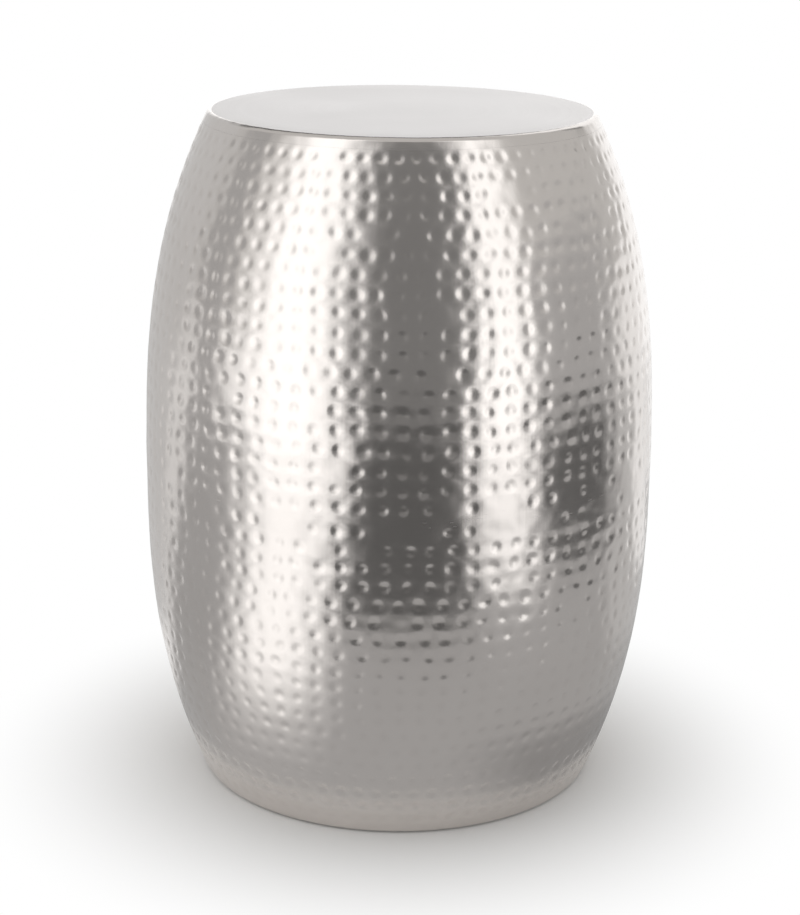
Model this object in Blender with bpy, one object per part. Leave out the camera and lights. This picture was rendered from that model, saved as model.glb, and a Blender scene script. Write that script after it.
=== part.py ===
"""Occasional table shaped as a barrel, in hammered sheet metal.

Two spun half shells meet in a dressed weld at mid height, over a band inside. A pressed top laps
over the neck of the upper shell and rests on flat bars. A pierced ring, seated on the rolled
bottom edge, carries the rubber feet. Sizes are in metres, and the origin is the middle of the
footprint on the floor.
"""

import math

import bmesh
import bpy
from mathutils import Vector

# Outline of the barrel
HEIGHT = 0.460
BELLY_HEIGHT = 0.204
BELLY_RADIUS = 0.1737
RIM_RADIUS = 0.1285
BASE_RADIUS = 0.1367
UPPER_FULLNESS = 2.87
LOWER_FULLNESS = 2.45

# Sheet and joints of the drum
SHELL_SHEET = 0.0010
TOP_SHEET = 0.0012
TOP_EDGE_RADIUS = 0.0045
SKIRT_DEPTH = 0.0065
LEDGE_WIDTH = 0.0160
SEAM_HEIGHT = 0.230
WELD_WIDTH = 0.0020
BAND_SHEET = 0.0015
BAND_WIDTH = 0.0240

# Bars under the top
BAR_WIDTH = 0.0200
BAR_THICKNESS = 0.0040
BAR_LAP = 0.0100

# Rolled bottom edge
HEM_LIFT = 0.0010
HEM_WIRE_RADIUS = 0.0020
HEM_WRAP = math.radians(270)

# Ring and feet
RING_THICKNESS = 0.0020
RING_EDGE = 0.0040
FOOT_COUNT = 4
FOOT_FIRST_ANGLE = math.radians(45)
FOOT_RADIUS = 0.0110
FOOT_TAPER = 0.0010
FOOT_CHAMFER = 0.0008
FOOT_WEB = 0.0030
FOOT_MARGIN = 0.0020

# Fasteners of the feet
SCREW_RADIUS = 0.0020
SCREW_CHAMFER = 0.0004
SCREW_PROUD = 0.0015
HEAD_RADIUS = 0.0040
HEAD_HEIGHT = 0.0022
HEAD_CHAMFER = 0.0006
SOCKET_FLATS = 0.0025
SOCKET_DEPTH = 0.0013
WASHER_RADIUS = 0.0055
WASHER_THICKNESS = 0.0010
NUT_FLATS = 0.0070
NUT_HEIGHT = 0.0032

# Space kept between pieces that touch
CLEARANCE = 0.0003

# Facets
DRUM_SIDES = 48
SMALL_SIDES = 18
WIRE_SIDES = 10
FLANK_STEPS = 8
BAND_STEPS = 2
EDGE_STEPS = 4
HEM_STEPS = 11
SMOOTH_ANGLE = math.radians(32)


def flank_radius(height):
    """Outer radius of the barrel at a height."""
    if height >= BELLY_HEIGHT:
        share = (height - BELLY_HEIGHT) / (HEIGHT - BELLY_HEIGHT)
        return BELLY_RADIUS - (BELLY_RADIUS - RIM_RADIUS) * share**UPPER_FULLNESS
    share = (BELLY_HEIGHT - height) / BELLY_HEIGHT
    return BELLY_RADIUS - (BELLY_RADIUS - BASE_RADIUS) * share**LOWER_FULLNESS


def base_lean(height):
    """Angle by which the flank leans in towards the floor, at a height below the belly."""
    share = (BELLY_HEIGHT - height) / BELLY_HEIGHT
    narrowing = LOWER_FULLNESS * (BELLY_RADIUS - BASE_RADIUS) / BELLY_HEIGHT
    return math.atan(narrowing * share ** (LOWER_FULLNESS - 1))


def flank_path(top, bottom, steps):
    """Points down the outside of the barrel, as (radius, height)."""
    heights = [top + (bottom - top) * step / steps for step in range(steps + 1)]
    return [(flank_radius(height), height) for height in heights]


def arc(centre, radius, start, sweep, steps):
    """Points along an arc, as (radius, height)."""
    angles = [start + sweep * step / steps for step in range(steps + 1)]
    return [
        (centre[0] + radius * math.cos(angle), centre[1] + radius * math.sin(angle))
        for angle in angles
    ]


def inset_path(path, distance):
    """A path moved towards the inside of the drum, which lies to its right, with mitred corners."""
    points = [Vector(point) for point in path]
    normals = []
    for start, end in zip(points, points[1:]):
        heading = (end - start).normalized()
        normals.append(Vector((heading.y, -heading.x)))
    moved = []
    for index, point in enumerate(points):
        before = normals[max(index - 1, 0)]
        after = normals[min(index, len(normals) - 1)]
        mitre = (before + after) / (1 + before.dot(after))
        moved.append(tuple(point + mitre * distance))
    return moved


def sheet_section(path, thickness):
    """Closed section of sheet metal whose outer side is a path."""
    return path + inset_path(path, thickness)[::-1]


def skirt_fall():
    """Angle below level at which the skirt of the top runs out and down."""
    flare = flank_radius(HEIGHT - SKIRT_DEPTH) - RIM_RADIUS
    return math.atan2(SKIRT_DEPTH, flare)


def top_path():
    """Outer side of the top: from the axis over the rounded edge to the end of the skirt."""
    fall = skirt_fall()
    flat_radius = RIM_RADIUS - TOP_EDGE_RADIUS * math.tan(fall / 2)
    centre = (flat_radius, HEIGHT - TOP_EDGE_RADIUS)
    edge = arc(centre, TOP_EDGE_RADIUS, math.pi / 2, -fall, EDGE_STEPS)
    skirt_end = HEIGHT - SKIRT_DEPTH
    return [(0.0, HEIGHT)] + edge + [(flank_radius(skirt_end), skirt_end)]


def neck_path():
    """Outer side of the upper shell inside the top: from the ledge's inner edge to the neck's foot."""
    path = inset_path(top_path(), TOP_SHEET + CLEARANCE)
    ledge_end = path[1]
    ledge_start = (ledge_end[0] - LEDGE_WIDTH, ledge_end[1])
    return [ledge_start] + path[1:-1]


def upper_shell_path():
    """Outer side of the upper shell: ledge, neck, shoulder under the skirt, and flank to the seam."""
    fall = skirt_fall()
    shoulder = HEIGHT - SKIRT_DEPTH - CLEARANCE * math.sin(fall)
    flank = flank_path(shoulder, SEAM_HEIGHT + WELD_WIDTH / 2, FLANK_STEPS)
    step = TOP_SHEET + CLEARANCE
    neck_foot = (
        flank[0][0] - step * math.sin(fall),
        flank[0][1] - step * math.cos(fall),
    )
    return neck_path() + [neck_foot] + flank


def hem_radius():
    """Outer radius of the roll at the bottom edge."""
    return HEM_WIRE_RADIUS + CLEARANCE + SHELL_SHEET


def hem_start():
    """Height at which the flank runs into the roll, so that the roll clears the floor by the lift."""
    height = HEM_LIFT + hem_radius()
    for _ in range(FLANK_STEPS):
        height = HEM_LIFT + hem_radius() * (1 - math.sin(base_lean(height)))
    return height


def hem_centre():
    """Middle of the wire in the rolled edge, as (radius, height)."""
    start = hem_start()
    lean = base_lean(start)
    return (
        flank_radius(start) - hem_radius() * math.cos(lean),
        start + hem_radius() * math.sin(lean),
    )


def lower_shell_path():
    """Outer side of the lower shell: flank from the seam, then the roll round the wire."""
    start = hem_start()
    flank = flank_path(SEAM_HEIGHT - WELD_WIDTH / 2, start, FLANK_STEPS)
    roll = arc(hem_centre(), hem_radius(), -base_lean(start), -HEM_WRAP, HEM_STEPS)
    return flank + roll[1:]


def ring_bottom():
    """Height of the ring's underside, on the rolled edge."""
    return HEM_LIFT + 2 * hem_radius() + CLEARANCE


def foot_height():
    """Height of a foot, from the floor to the ring."""
    return ring_bottom() - CLEARANCE


def foot_circle():
    """Radius at which the feet stand, inside the rolled edge."""
    return hem_centre()[0] - hem_radius() - FOOT_MARGIN - FOOT_RADIUS


def washer_bottom():
    """Height of the washer's underside, in the recess of its foot."""
    return foot_height() - FOOT_WEB - CLEARANCE - WASHER_THICKNESS


def nut_bottom():
    """Height of the nut's underside, on the ring."""
    return ring_bottom() + RING_THICKNESS + CLEARANCE


def hole_radius():
    """Radius of each hole that a screw passes through."""
    return SCREW_RADIUS + CLEARANCE


def round_plan(_angle):
    """Distance from the axis to a unit circle."""
    return 1.0


def hexagon_plan(angle):
    """Distance from the axis to a hexagon with an inner radius of one and a corner at angle zero."""
    return 1.0 / math.cos(angle % (math.pi / 3) - math.pi / 6)


def material(name, colour, roughness, metallic):
    """Principled material with a plain finish."""
    made = bpy.data.materials.new(name)
    made.use_nodes = True
    shader = made.node_tree.nodes["Principled BSDF"]
    shader.inputs["Base Color"].default_value = (*colour, 1.0)
    shader.inputs["Roughness"].default_value = roughness
    shader.inputs["Metallic"].default_value = metallic
    return made


def mesh_of(name, shape):
    """Smooth mesh of a closed shape, with its faces outwards and its corners kept sharp."""
    bmesh.ops.recalc_face_normals(shape, faces=shape.faces[:])
    mesh = bpy.data.meshes.new(name)
    shape.to_mesh(mesh)
    shape.free()
    mesh.shade_smooth()
    mesh.set_sharp_from_angle(angle=SMOOTH_ANGLE)
    return mesh


def turned(name, stations, sides, closed=True):
    """Mesh turned about Z from stations of (radius, height) or (radius, height, plan)."""
    shape = bmesh.new()
    rings = []
    for radius, height, *plan in stations:
        outline = plan[0] if plan else round_plan
        if radius == 0:
            rings.append([shape.verts.new((0, 0, height))] * sides)
            continue
        ring = []
        for side in range(sides):
            angle = 2 * math.pi * side / sides
            reach = radius * outline(angle)
            ring.append(shape.verts.new((reach * math.cos(angle), reach * math.sin(angle), height)))
        rings.append(ring)
    pairs = list(zip(rings, rings[1:]))
    if closed:
        pairs.append((rings[-1], rings[0]))
    for above, below in pairs:
        for side in range(sides):
            after = (side + 1) % sides
            corners = (above[side], below[side], below[after], above[after])
            corners = list(dict.fromkeys(corners))
            if len(corners) > 2:
                shape.faces.new(corners)
    ends = [] if closed else [rings[0], rings[-1]]
    for ring in ends:
        if ring[0] is not ring[1]:
            shape.faces.new(ring)
    return mesh_of(name, shape)


def thickened(name, shape, direction):
    """Mesh of a flat shape drawn out along a direction."""
    grown = bmesh.ops.extrude_face_region(shape, geom=shape.faces[:])
    moved = [item for item in grown["geom"] if isinstance(item, bmesh.types.BMVert)]
    bmesh.ops.translate(shape, verts=moved, vec=direction)
    return mesh_of(name, shape)


def circle_edges(shape, centre, radius, sides):
    """Edges of a level circle."""
    angles = [2 * math.pi * side / sides for side in range(sides)]
    verts = [
        shape.verts.new((centre[0] + radius * math.cos(a), centre[1] + radius * math.sin(a), 0))
        for a in angles
    ]
    return [shape.edges.new(pair) for pair in zip(verts, verts[1:] + verts[:1])]


def placed(name, mesh, finish, parent, location=(0, 0, 0), turn=0.0):
    """Object for a mesh, with its finish, under a parent."""
    piece = bpy.data.objects.new(name, mesh)
    if not mesh.materials:
        mesh.materials.append(finish)
    bpy.context.collection.objects.link(piece)
    piece.parent = parent
    piece.location = location
    piece.rotation_euler.z = turn
    return piece


def marker(name, parent=None, location=(0, 0, 0), turn=0.0):
    """Empty that holds the pieces of a group."""
    empty = bpy.data.objects.new(name, None)
    bpy.context.collection.objects.link(empty)
    empty.parent = parent
    empty.location = location
    empty.rotation_euler.z = turn
    return empty


def build_top_plate(table):
    """Pressed disc with a rounded edge and a short skirt."""
    section = sheet_section(top_path(), TOP_SHEET)
    finish = material("satin_top", (0.68, 0.66, 0.64), 0.42, 1.0)
    placed("top_plate", turned("top_plate", section, DRUM_SIDES, closed=False), finish, table)


def build_shells(table):
    """Upper and lower spun half shells."""
    finish = material("hammered_nickel", (0.66, 0.64, 0.61), 0.22, 1.0)
    upper = turned("upper_shell", sheet_section(upper_shell_path(), SHELL_SHEET), DRUM_SIDES)
    placed("upper_shell", upper, finish, table)
    lower = turned("lower_shell", sheet_section(lower_shell_path(), SHELL_SHEET), DRUM_SIDES)
    placed("lower_shell", lower, finish, table)


def build_seam(table):
    """Weld that fills the seam, and the band behind it."""
    half_weld = WELD_WIDTH / 2 - CLEARANCE
    weld_path = flank_path(SEAM_HEIGHT + half_weld, SEAM_HEIGHT - half_weld, 1)
    weld = turned("seam_weld", sheet_section(weld_path, SHELL_SHEET), DRUM_SIDES)
    placed("seam_weld", weld, material("dressed_weld", (0.58, 0.56, 0.53), 0.35, 1.0), table)
    half_band = BAND_WIDTH / 2
    outside = flank_path(SEAM_HEIGHT + half_band, SEAM_HEIGHT - half_band, BAND_STEPS)
    band_path = inset_path(outside, SHELL_SHEET + CLEARANCE)
    band = turned("seam_band", sheet_section(band_path, BAND_SHEET), DRUM_SIDES)
    placed("seam_band", band, material("band_steel", (0.42, 0.41, 0.40), 0.50, 1.0), table)


def bar_reach(radius):
    """Distance from the axis to the end of a bar whose corners lie on a circle."""
    return math.sqrt(radius**2 - (BAR_WIDTH / 2) ** 2)


def build_bar(name, start, notched_start, finish, table, turn):
    """Flat bar along X from a start to the ledge, stepped down where it laps under the ledge."""
    ledge_edge, ledge_top = neck_path()[0]
    top = ledge_top
    step = top - SHELL_SHEET - CLEARANCE
    bottom = top - BAR_THICKNESS
    inner_end = bar_reach(ledge_edge - CLEARANCE)
    outer_end = inner_end + BAR_LAP
    outline = [(outer_end, bottom), (outer_end, step), (inner_end, step), (inner_end, top)]
    if notched_start:
        outline += [(-x, z) for x, z in reversed(outline)]
    else:
        outline += [(start, top), (start, bottom)]
    shape = bmesh.new()
    shape.faces.new([shape.verts.new((x, -BAR_WIDTH / 2, z)) for x, z in outline])
    bar = thickened(name, shape, (0, BAR_WIDTH, 0))
    placed(name, bar, finish, table, turn=turn)


def build_bars(table):
    """One bar right across the neck and two that meet it from the sides."""
    finish = material("bar_steel", (0.36, 0.35, 0.34), 0.55, 1.0)
    side_start = BAR_WIDTH / 2 + CLEARANCE
    build_bar("cross_bar_long", 0.0, True, finish, table, 0.0)
    build_bar("cross_bar_back", side_start, False, finish, table, math.pi / 2)
    build_bar("cross_bar_front", side_start, False, finish, table, -math.pi / 2)


def build_hem_wire(table):
    """Wire inside the rolled bottom edge."""
    section = arc(hem_centre(), HEM_WIRE_RADIUS, 0, -2 * math.pi, WIRE_SIDES)[:-1]
    finish = material("wire_steel", (0.40, 0.39, 0.38), 0.45, 1.0)
    placed("hem_wire", turned("hem_wire", section, DRUM_SIDES), finish, table)


def foot_angles():
    """Directions of the feet from the axis."""
    return [FOOT_FIRST_ANGLE + 2 * math.pi * foot / FOOT_COUNT for foot in range(FOOT_COUNT)]


def build_base_ring(table):
    """Flat ring on the rolled edge, with a hole for each foot's screw."""
    through_sheet = (SHELL_SHEET + CLEARANCE) / math.cos(base_lean(ring_bottom()))
    outer = flank_radius(ring_bottom()) - through_sheet
    inner = foot_circle() - FOOT_RADIUS - RING_EDGE
    shape = bmesh.new()
    edges = circle_edges(shape, (0, 0), outer, DRUM_SIDES)
    edges += circle_edges(shape, (0, 0), inner, DRUM_SIDES)
    for angle in foot_angles():
        centre = (foot_circle() * math.cos(angle), foot_circle() * math.sin(angle))
        edges += circle_edges(shape, centre, hole_radius(), SMALL_SIDES)
    bmesh.ops.triangle_fill(shape, use_beauty=True, edges=edges, normal=(0, 0, 1))
    ring = thickened("base_ring", shape, (0, 0, RING_THICKNESS))
    finish = material("ring_steel", (0.38, 0.37, 0.36), 0.50, 1.0)
    placed("base_ring", ring, finish, table, (0, 0, ring_bottom()))


def foot_mesh():
    """Tapered rubber foot with a screw hole and a recess below for the head."""
    recess = WASHER_RADIUS + CLEARANCE
    web_bottom = foot_height() - FOOT_WEB
    floor_radius = FOOT_RADIUS - FOOT_TAPER
    stations = [
        (FOOT_RADIUS, foot_height()),
        (floor_radius, FOOT_CHAMFER),
        (floor_radius - FOOT_CHAMFER, 0),
        (recess, 0),
        (recess, web_bottom),
        (hole_radius(), web_bottom),
        (hole_radius(), foot_height()),
    ]
    return turned("foot_pad", stations, SMALL_SIDES)


def washer_mesh():
    """Flat washer."""
    stations = [
        (WASHER_RADIUS, WASHER_THICKNESS),
        (WASHER_RADIUS, 0),
        (hole_radius(), 0),
        (hole_radius(), WASHER_THICKNESS),
    ]
    return turned("foot_washer", stations, SMALL_SIDES)


def screw_length():
    """Length of a screw, from the outside of its head to its tip above the nut."""
    head_bottom = washer_bottom() - CLEARANCE - HEAD_HEIGHT
    return nut_bottom() + NUT_HEIGHT + SCREW_PROUD - head_bottom


def screw_mesh():
    """Screw pointing up, with a hexagon socket in its head."""
    tip = screw_length()
    socket_radius = SOCKET_FLATS / 2
    stations = [
        (socket_radius, SOCKET_DEPTH, hexagon_plan),
        (socket_radius, 0, hexagon_plan),
        (HEAD_RADIUS - HEAD_CHAMFER, 0),
        (HEAD_RADIUS, HEAD_CHAMFER),
        (HEAD_RADIUS, HEAD_HEIGHT),
        (SCREW_RADIUS, HEAD_HEIGHT),
        (SCREW_RADIUS, tip - SCREW_CHAMFER),
        (SCREW_RADIUS - SCREW_CHAMFER, tip),
    ]
    return turned("foot_screw", stations, SMALL_SIDES, closed=False)


def nut_mesh():
    """Hexagon nut."""
    stations = [
        (NUT_FLATS / 2, NUT_HEIGHT, hexagon_plan),
        (NUT_FLATS / 2, 0, hexagon_plan),
        (hole_radius(), 0),
        (hole_radius(), NUT_HEIGHT),
    ]
    return turned("foot_nut", stations, SMALL_SIDES)


def build_feet(table):
    """Rubber feet round the base, each with its washer, screw and nut."""
    zinc = material("zinc_fastener", (0.60, 0.60, 0.58), 0.35, 1.0)
    rubber = material("black_rubber", (0.03, 0.03, 0.03), 0.85, 0.0)
    head_bottom = washer_bottom() - CLEARANCE - HEAD_HEIGHT
    pieces = [
        ("foot_pad", foot_mesh(), rubber, 0.0),
        ("foot_washer", washer_mesh(), zinc, washer_bottom()),
        ("foot_screw", screw_mesh(), zinc, head_bottom),
        ("foot_nut", nut_mesh(), zinc, nut_bottom()),
    ]
    for number, angle in enumerate(foot_angles(), start=1):
        spot = (foot_circle() * math.cos(angle), foot_circle() * math.sin(angle), 0)
        foot = marker(f"foot_{number}", table, spot)
        for name, mesh, finish, height in pieces:
            placed(f"{name}_{number}", mesh, finish, foot, (0, 0, height))


def main():
    """Clear the scene and build the table."""
    for thing in list(bpy.data.objects):
        bpy.data.objects.remove(thing)
    table = marker("drum_table")
    build_top_plate(table)
    build_shells(table)
    build_seam(table)
    build_bars(table)
    build_hem_wire(table)
    build_base_ring(table)
    build_feet(table)


main()
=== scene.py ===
"""Dressed model of a barrel table in hammered sheet metal, on a plain pale studio floor.

Two hammered half shells, a satin top, the dressed seam, the steel inside and the rubber feet are
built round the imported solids. Sizes are in metres.
"""

import logging
import math
from dataclasses import dataclass, replace
from enum import Enum
from typing import Any, Callable, ClassVar, NamedTuple, Sequence

import bmesh
import bpy
import numpy as np
from bmesh.types import BMEdge, BMesh, BMVert
from bpy.types import Material, Mesh, Node, NodeSocket, NodeTree
from mathutils import Euler, Matrix, Vector, noise


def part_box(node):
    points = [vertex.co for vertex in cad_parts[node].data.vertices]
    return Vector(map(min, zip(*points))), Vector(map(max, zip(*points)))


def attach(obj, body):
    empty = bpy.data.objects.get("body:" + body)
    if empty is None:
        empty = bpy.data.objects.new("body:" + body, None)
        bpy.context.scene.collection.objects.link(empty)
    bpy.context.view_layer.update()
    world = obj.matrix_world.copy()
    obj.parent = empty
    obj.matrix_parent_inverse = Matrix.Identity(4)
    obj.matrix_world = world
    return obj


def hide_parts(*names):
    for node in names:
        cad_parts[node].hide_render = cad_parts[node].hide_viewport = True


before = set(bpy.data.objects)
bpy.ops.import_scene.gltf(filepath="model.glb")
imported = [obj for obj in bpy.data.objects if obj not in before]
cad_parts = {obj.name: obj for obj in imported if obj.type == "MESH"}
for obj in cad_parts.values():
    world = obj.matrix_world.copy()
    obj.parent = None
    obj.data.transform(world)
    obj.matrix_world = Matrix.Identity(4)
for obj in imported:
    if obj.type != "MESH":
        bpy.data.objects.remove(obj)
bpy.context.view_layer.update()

LOG = logging.getLogger("barrel_table")

Point2 = tuple[float, float]
Point3 = tuple[float, float, float]
Colour = tuple[float, float, float]

BODY = "root"
FULL_TURN = 2 * math.pi
ROUND_SIDES = 192
WELD_TOLERANCE = 2e-6
CREASE_ANGLE = math.radians(34)
FIT_GAP = 0.0003
CORNER_SPARE = 2.2
WHITE = (1.0, 1.0, 1.0)


class Half(Enum):
    """The two spun halves of the drum."""

    UPPER = "upper_shell"
    LOWER = "lower_shell"


class Side(Enum):
    """The two faces of a sheet of metal."""

    OUTSIDE = "outside"
    INSIDE = "inside"


class Socket(Enum):
    """Kinds of tree input that have no plain default."""

    GEOMETRY = "NodeSocketGeometry"
    MATERIAL = "NodeSocketMaterial"


class Form(Enum):
    """Outline of a ring of points on a fastener."""

    ROUND = "round"
    HEXAGON = "hexagon"
    THREAD = "thread"


class Draw(Enum):
    """Random draws for the hammer marks, by what is added to the seed."""

    PLACE = 1
    SIZE = 3
    DEPTH = 4
    MISS = 5
    STRETCH = 6


def operator(operation: str, swapped: bool = False) -> Callable[["Field", Any], "Field"]:
    """Arithmetic method of a field.

    Args:
        operation: Blender's name of the operation.
        swapped: whether the field comes second.

    Returns:
        The method.
    """

    def method(field: "Field", other: Any) -> "Field":
        """Result of the operation."""
        return field.sheet.math(operation, *((other, field) if swapped else (field, other)))

    return method


class Field:
    """A value in a node tree that takes part in plain arithmetic."""

    def __init__(self, sheet: "NodeSheet", socket: NodeSocket) -> None:
        """Wraps an output socket."""
        self.sheet = sheet
        self.socket = socket

    __add__ = operator("ADD")
    __radd__ = operator("ADD", swapped=True)
    __sub__ = operator("SUBTRACT")
    __rsub__ = operator("SUBTRACT", swapped=True)
    __mul__ = operator("MULTIPLY")
    __truediv__ = operator("DIVIDE")
    __rtruediv__ = operator("DIVIDE", swapped=True)
    power = operator("POWER")
    at_least = operator("MAXIMUM")
    at_most = operator("MINIMUM")

    def apply(self, operation: str, *others: Any) -> "Field":
        """Result of a named operation of the math node."""
        return self.sheet.math(operation, self, *others)

    def eased(self, low: Any, high: Any) -> "Field":
        """Eased step from zero at one value to one at another."""
        feeds = {"Value": self, "From Min": low, "From Max": high}
        return self.sheet.made("ShaderNodeMapRange", "Result", feeds, interpolation_type="SMOOTHSTEP")

    def between(self, low: float, high: float, soft_low: float, soft_high: float) -> "Field":
        """One between two values and zero outside them, with soft steps inside."""
        return self.eased(low, low + soft_low) * (1.0 - self.eased(high - soft_high, high))


class NodeSheet:
    """Short calls that add and wire the nodes of one tree."""

    def __init__(self, tree: NodeTree) -> None:
        """Wraps a node tree."""
        self.tree = tree

    @staticmethod
    def socket(sockets: Sequence[NodeSocket], name: str) -> NodeSocket:
        """Finds the socket in use that has a name."""
        return next(s for s in sockets if s.name == name and s.enabled)

    def feed(self, socket: NodeSocket, value: Any) -> None:
        """Links a field, or each of a list of fields, to an input, or sets its plain value.

        Args:
            socket: input to feed.
            value: field, list of fields or plain value.
        """
        for item in value if isinstance(value, list) else [value]:
            if isinstance(item, Field):
                self.tree.links.new(item.socket, socket)
            else:
                socket.default_value = item

    def node(self, kind: str, feeds: dict[str, Any], **settings: Any) -> Node:
        """Adds a node.

        Args:
            kind: Blender's type name of the node.
            feeds: value for each named input.
            **settings: properties set before the inputs are fed.

        Returns:
            The new node.
        """
        made = self.tree.nodes.new(kind)
        for name, value in settings.items():
            setattr(made, name, value)
        for name, value in feeds.items():
            self.feed(self.socket(made.inputs, name), value)
        return made

    def out(self, node: Node, name: str) -> Field:
        """Output of a node, by name."""
        return Field(self, self.socket(node.outputs, name))

    def made(self, kind: str, output: str, feeds: dict[str, Any] | None = None, **settings: Any) -> Field:
        """Adds a node and gives one of its outputs."""
        return self.out(self.node(kind, feeds or {}, **settings), output)

    def math(self, operation: str, *values: Any) -> Field:
        """Adds a math node.

        Args:
            operation: Blender's name of the operation.
            *values: its inputs, in order.

        Returns:
            The result.
        """
        node = self.tree.nodes.new("ShaderNodeMath")
        node.operation = operation
        for socket, value in zip(node.inputs, values):
            self.feed(socket, value)
        return Field(self, node.outputs[0])

    def vector(self, x: Any, y: Any, z: Any) -> Field:
        """Vector from three values."""
        return self.made("ShaderNodeCombineXYZ", "Vector", {"X": x, "Y": y, "Z": z})

    def polar(self, reach: Field, turn: Field) -> Field:
        """Level vector of a length and a direction."""
        return self.vector(reach * turn.apply("COSINE"), reach * turn.apply("SINE"), 0.0)

    def parts(self, vector: Field) -> tuple[Field, Field, Field]:
        """The three values of a vector."""
        node = self.node("ShaderNodeSeparateXYZ", {"Vector": vector})
        return self.out(node, "X"), self.out(node, "Y"), self.out(node, "Z")

    def away(self, spot: Field) -> Field:
        """Distance of a spot from the upright axis."""
        across, along, _ = self.parts(spot)
        return (across * across + along * along).power(0.5)

    def stretched(self, vector: Field, scale: Sequence[float]) -> Field:
        """Vector multiplied along each axis.

        Args:
            vector: vector to stretch.
            scale: factor for each axis.

        Returns:
            The stretched vector.
        """
        node = self.tree.nodes.new("ShaderNodeVectorMath")
        node.operation = "MULTIPLY"
        self.feed(node.inputs[0], vector)
        self.feed(node.inputs[1], tuple(scale))
        return self.out(node, "Vector")

    def noise(self, vector: Field, scale: float, detail: float = 2.0) -> Field:
        """Soft noise between zero and one."""
        node = self.node("ShaderNodeTexNoise", {"Vector": vector, "Scale": scale, "Detail": detail})
        return Field(self, node.outputs[0])

    def named(self, name: str) -> Field:
        """Value that the geometry carries under a name."""
        return self.made("GeometryNodeInputNamedAttribute", "Attribute", {"Name": name}, data_type="FLOAT")

    def stored(self, geometry: Field, name: str, value: Any) -> Field:
        """Geometry that carries a value under a name.

        Args:
            geometry: geometry to mark.
            name: name of the value.
            value: value at each point.

        Returns:
            The marked geometry.
        """
        feeds = {"Geometry": geometry, "Name": name, "Value": value}
        settings = {"data_type": "FLOAT", "domain": "POINT"}
        return self.made("GeometryNodeStoreNamedAttribute", "Geometry", feeds, **settings)

    def random(self, low: float, high: float, key: Field, seed: Any) -> Field:
        """Fixed random value for each key."""
        feeds = {"Min": low, "Max": high, "ID": key, "Seed": seed}
        return self.made("FunctionNodeRandomValue", "Value", feeds, data_type="FLOAT")

    def spun(self, angle: Field) -> Field:
        """Rotation about the upright axis."""
        feeds = {"Euler": self.vector(0.0, 0.0, angle)}
        return self.made("FunctionNodeEulerToRotation", "Rotation", feeds)

    def moved(self, geometry: Field, spot: Field) -> Field:
        """Geometry with its points moved to a spot."""
        return self.made("GeometryNodeSetPosition", "Geometry", {"Geometry": geometry, "Position": spot})

    def real(self, geometry: Field) -> Field:
        """Geometry with its copies made real."""
        return self.made("GeometryNodeRealizeInstances", "Geometry", {"Geometry": geometry})

    def copied(self, points: Field, item: Field, **feeds: Field) -> Field:
        """Real copies of an item."""
        feeds = {"Points": points, "Instance": item, **feeds}
        return self.real(self.made("GeometryNodeInstanceOnPoints", "Instances", feeds))

    def declare(self, inputs: dict[str, Any], output: str) -> dict[str, Field]:
        """Adds the named inputs and the output of a geometry tree.

        Args:
            inputs: plain default of each input, or its kind of socket.
            output: name of the geometry that it gives.

        Returns:
            Field of each input.
        """
        kinds = {float: "NodeSocketFloat", int: "NodeSocketInt", bool: "NodeSocketBool"}
        face = self.tree.interface
        for name, default in inputs.items():
            if isinstance(default, Socket):
                face.new_socket(name, in_out="INPUT", socket_type=default.value)
                continue
            kind = kinds[type(default)]
            face.new_socket(name, in_out="INPUT", socket_type=kind).default_value = default
        face.new_socket(output, in_out="OUTPUT", socket_type=Socket.GEOMETRY.value)
        entry = self.tree.nodes.new("NodeGroupInput")
        return {s.name: Field(self, s) for s in entry.outputs if s.name}

    def finished(self, geometry: Field, finish: Field) -> None:
        """Ends a geometry tree with real copies in their material.

        Args:
            geometry: result of the tree.
            finish: its material.
        """
        feeds = {"Geometry": self.real(geometry), "Material": finish}
        done = self.made("GeometryNodeSetMaterial", "Geometry", feeds)
        self.feed(self.tree.nodes.new("NodeGroupOutput").inputs[0], done)

    def glow(self, tone: Colour, strength: float = 1.0) -> Node:
        """Shader that glows in a colour."""
        return self.node("ShaderNodeEmission", {"Color": (*tone, 1.0), "Strength": strength})

    def blended(self, share: Field, first: Node, second: Node) -> Node:
        """Shader between two others.

        Args:
            share: share of the second shader.
            first: shader at a share of zero.
            second: shader at a share of one.

        Returns:
            The blending shader.
        """
        mix = self.tree.nodes.new("ShaderNodeMixShader")
        self.feed(mix.inputs[0], share)
        self.tree.links.new(first.outputs[0], mix.inputs[1])
        self.tree.links.new(second.outputs[0], mix.inputs[2])
        return mix

    def shown(self, shader: Node, exit_name: str = "Material Output") -> None:
        """Sends a shader to the output of its tree."""
        self.tree.links.new(shader.outputs[0], self.tree.nodes[exit_name].inputs["Surface"])


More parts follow.
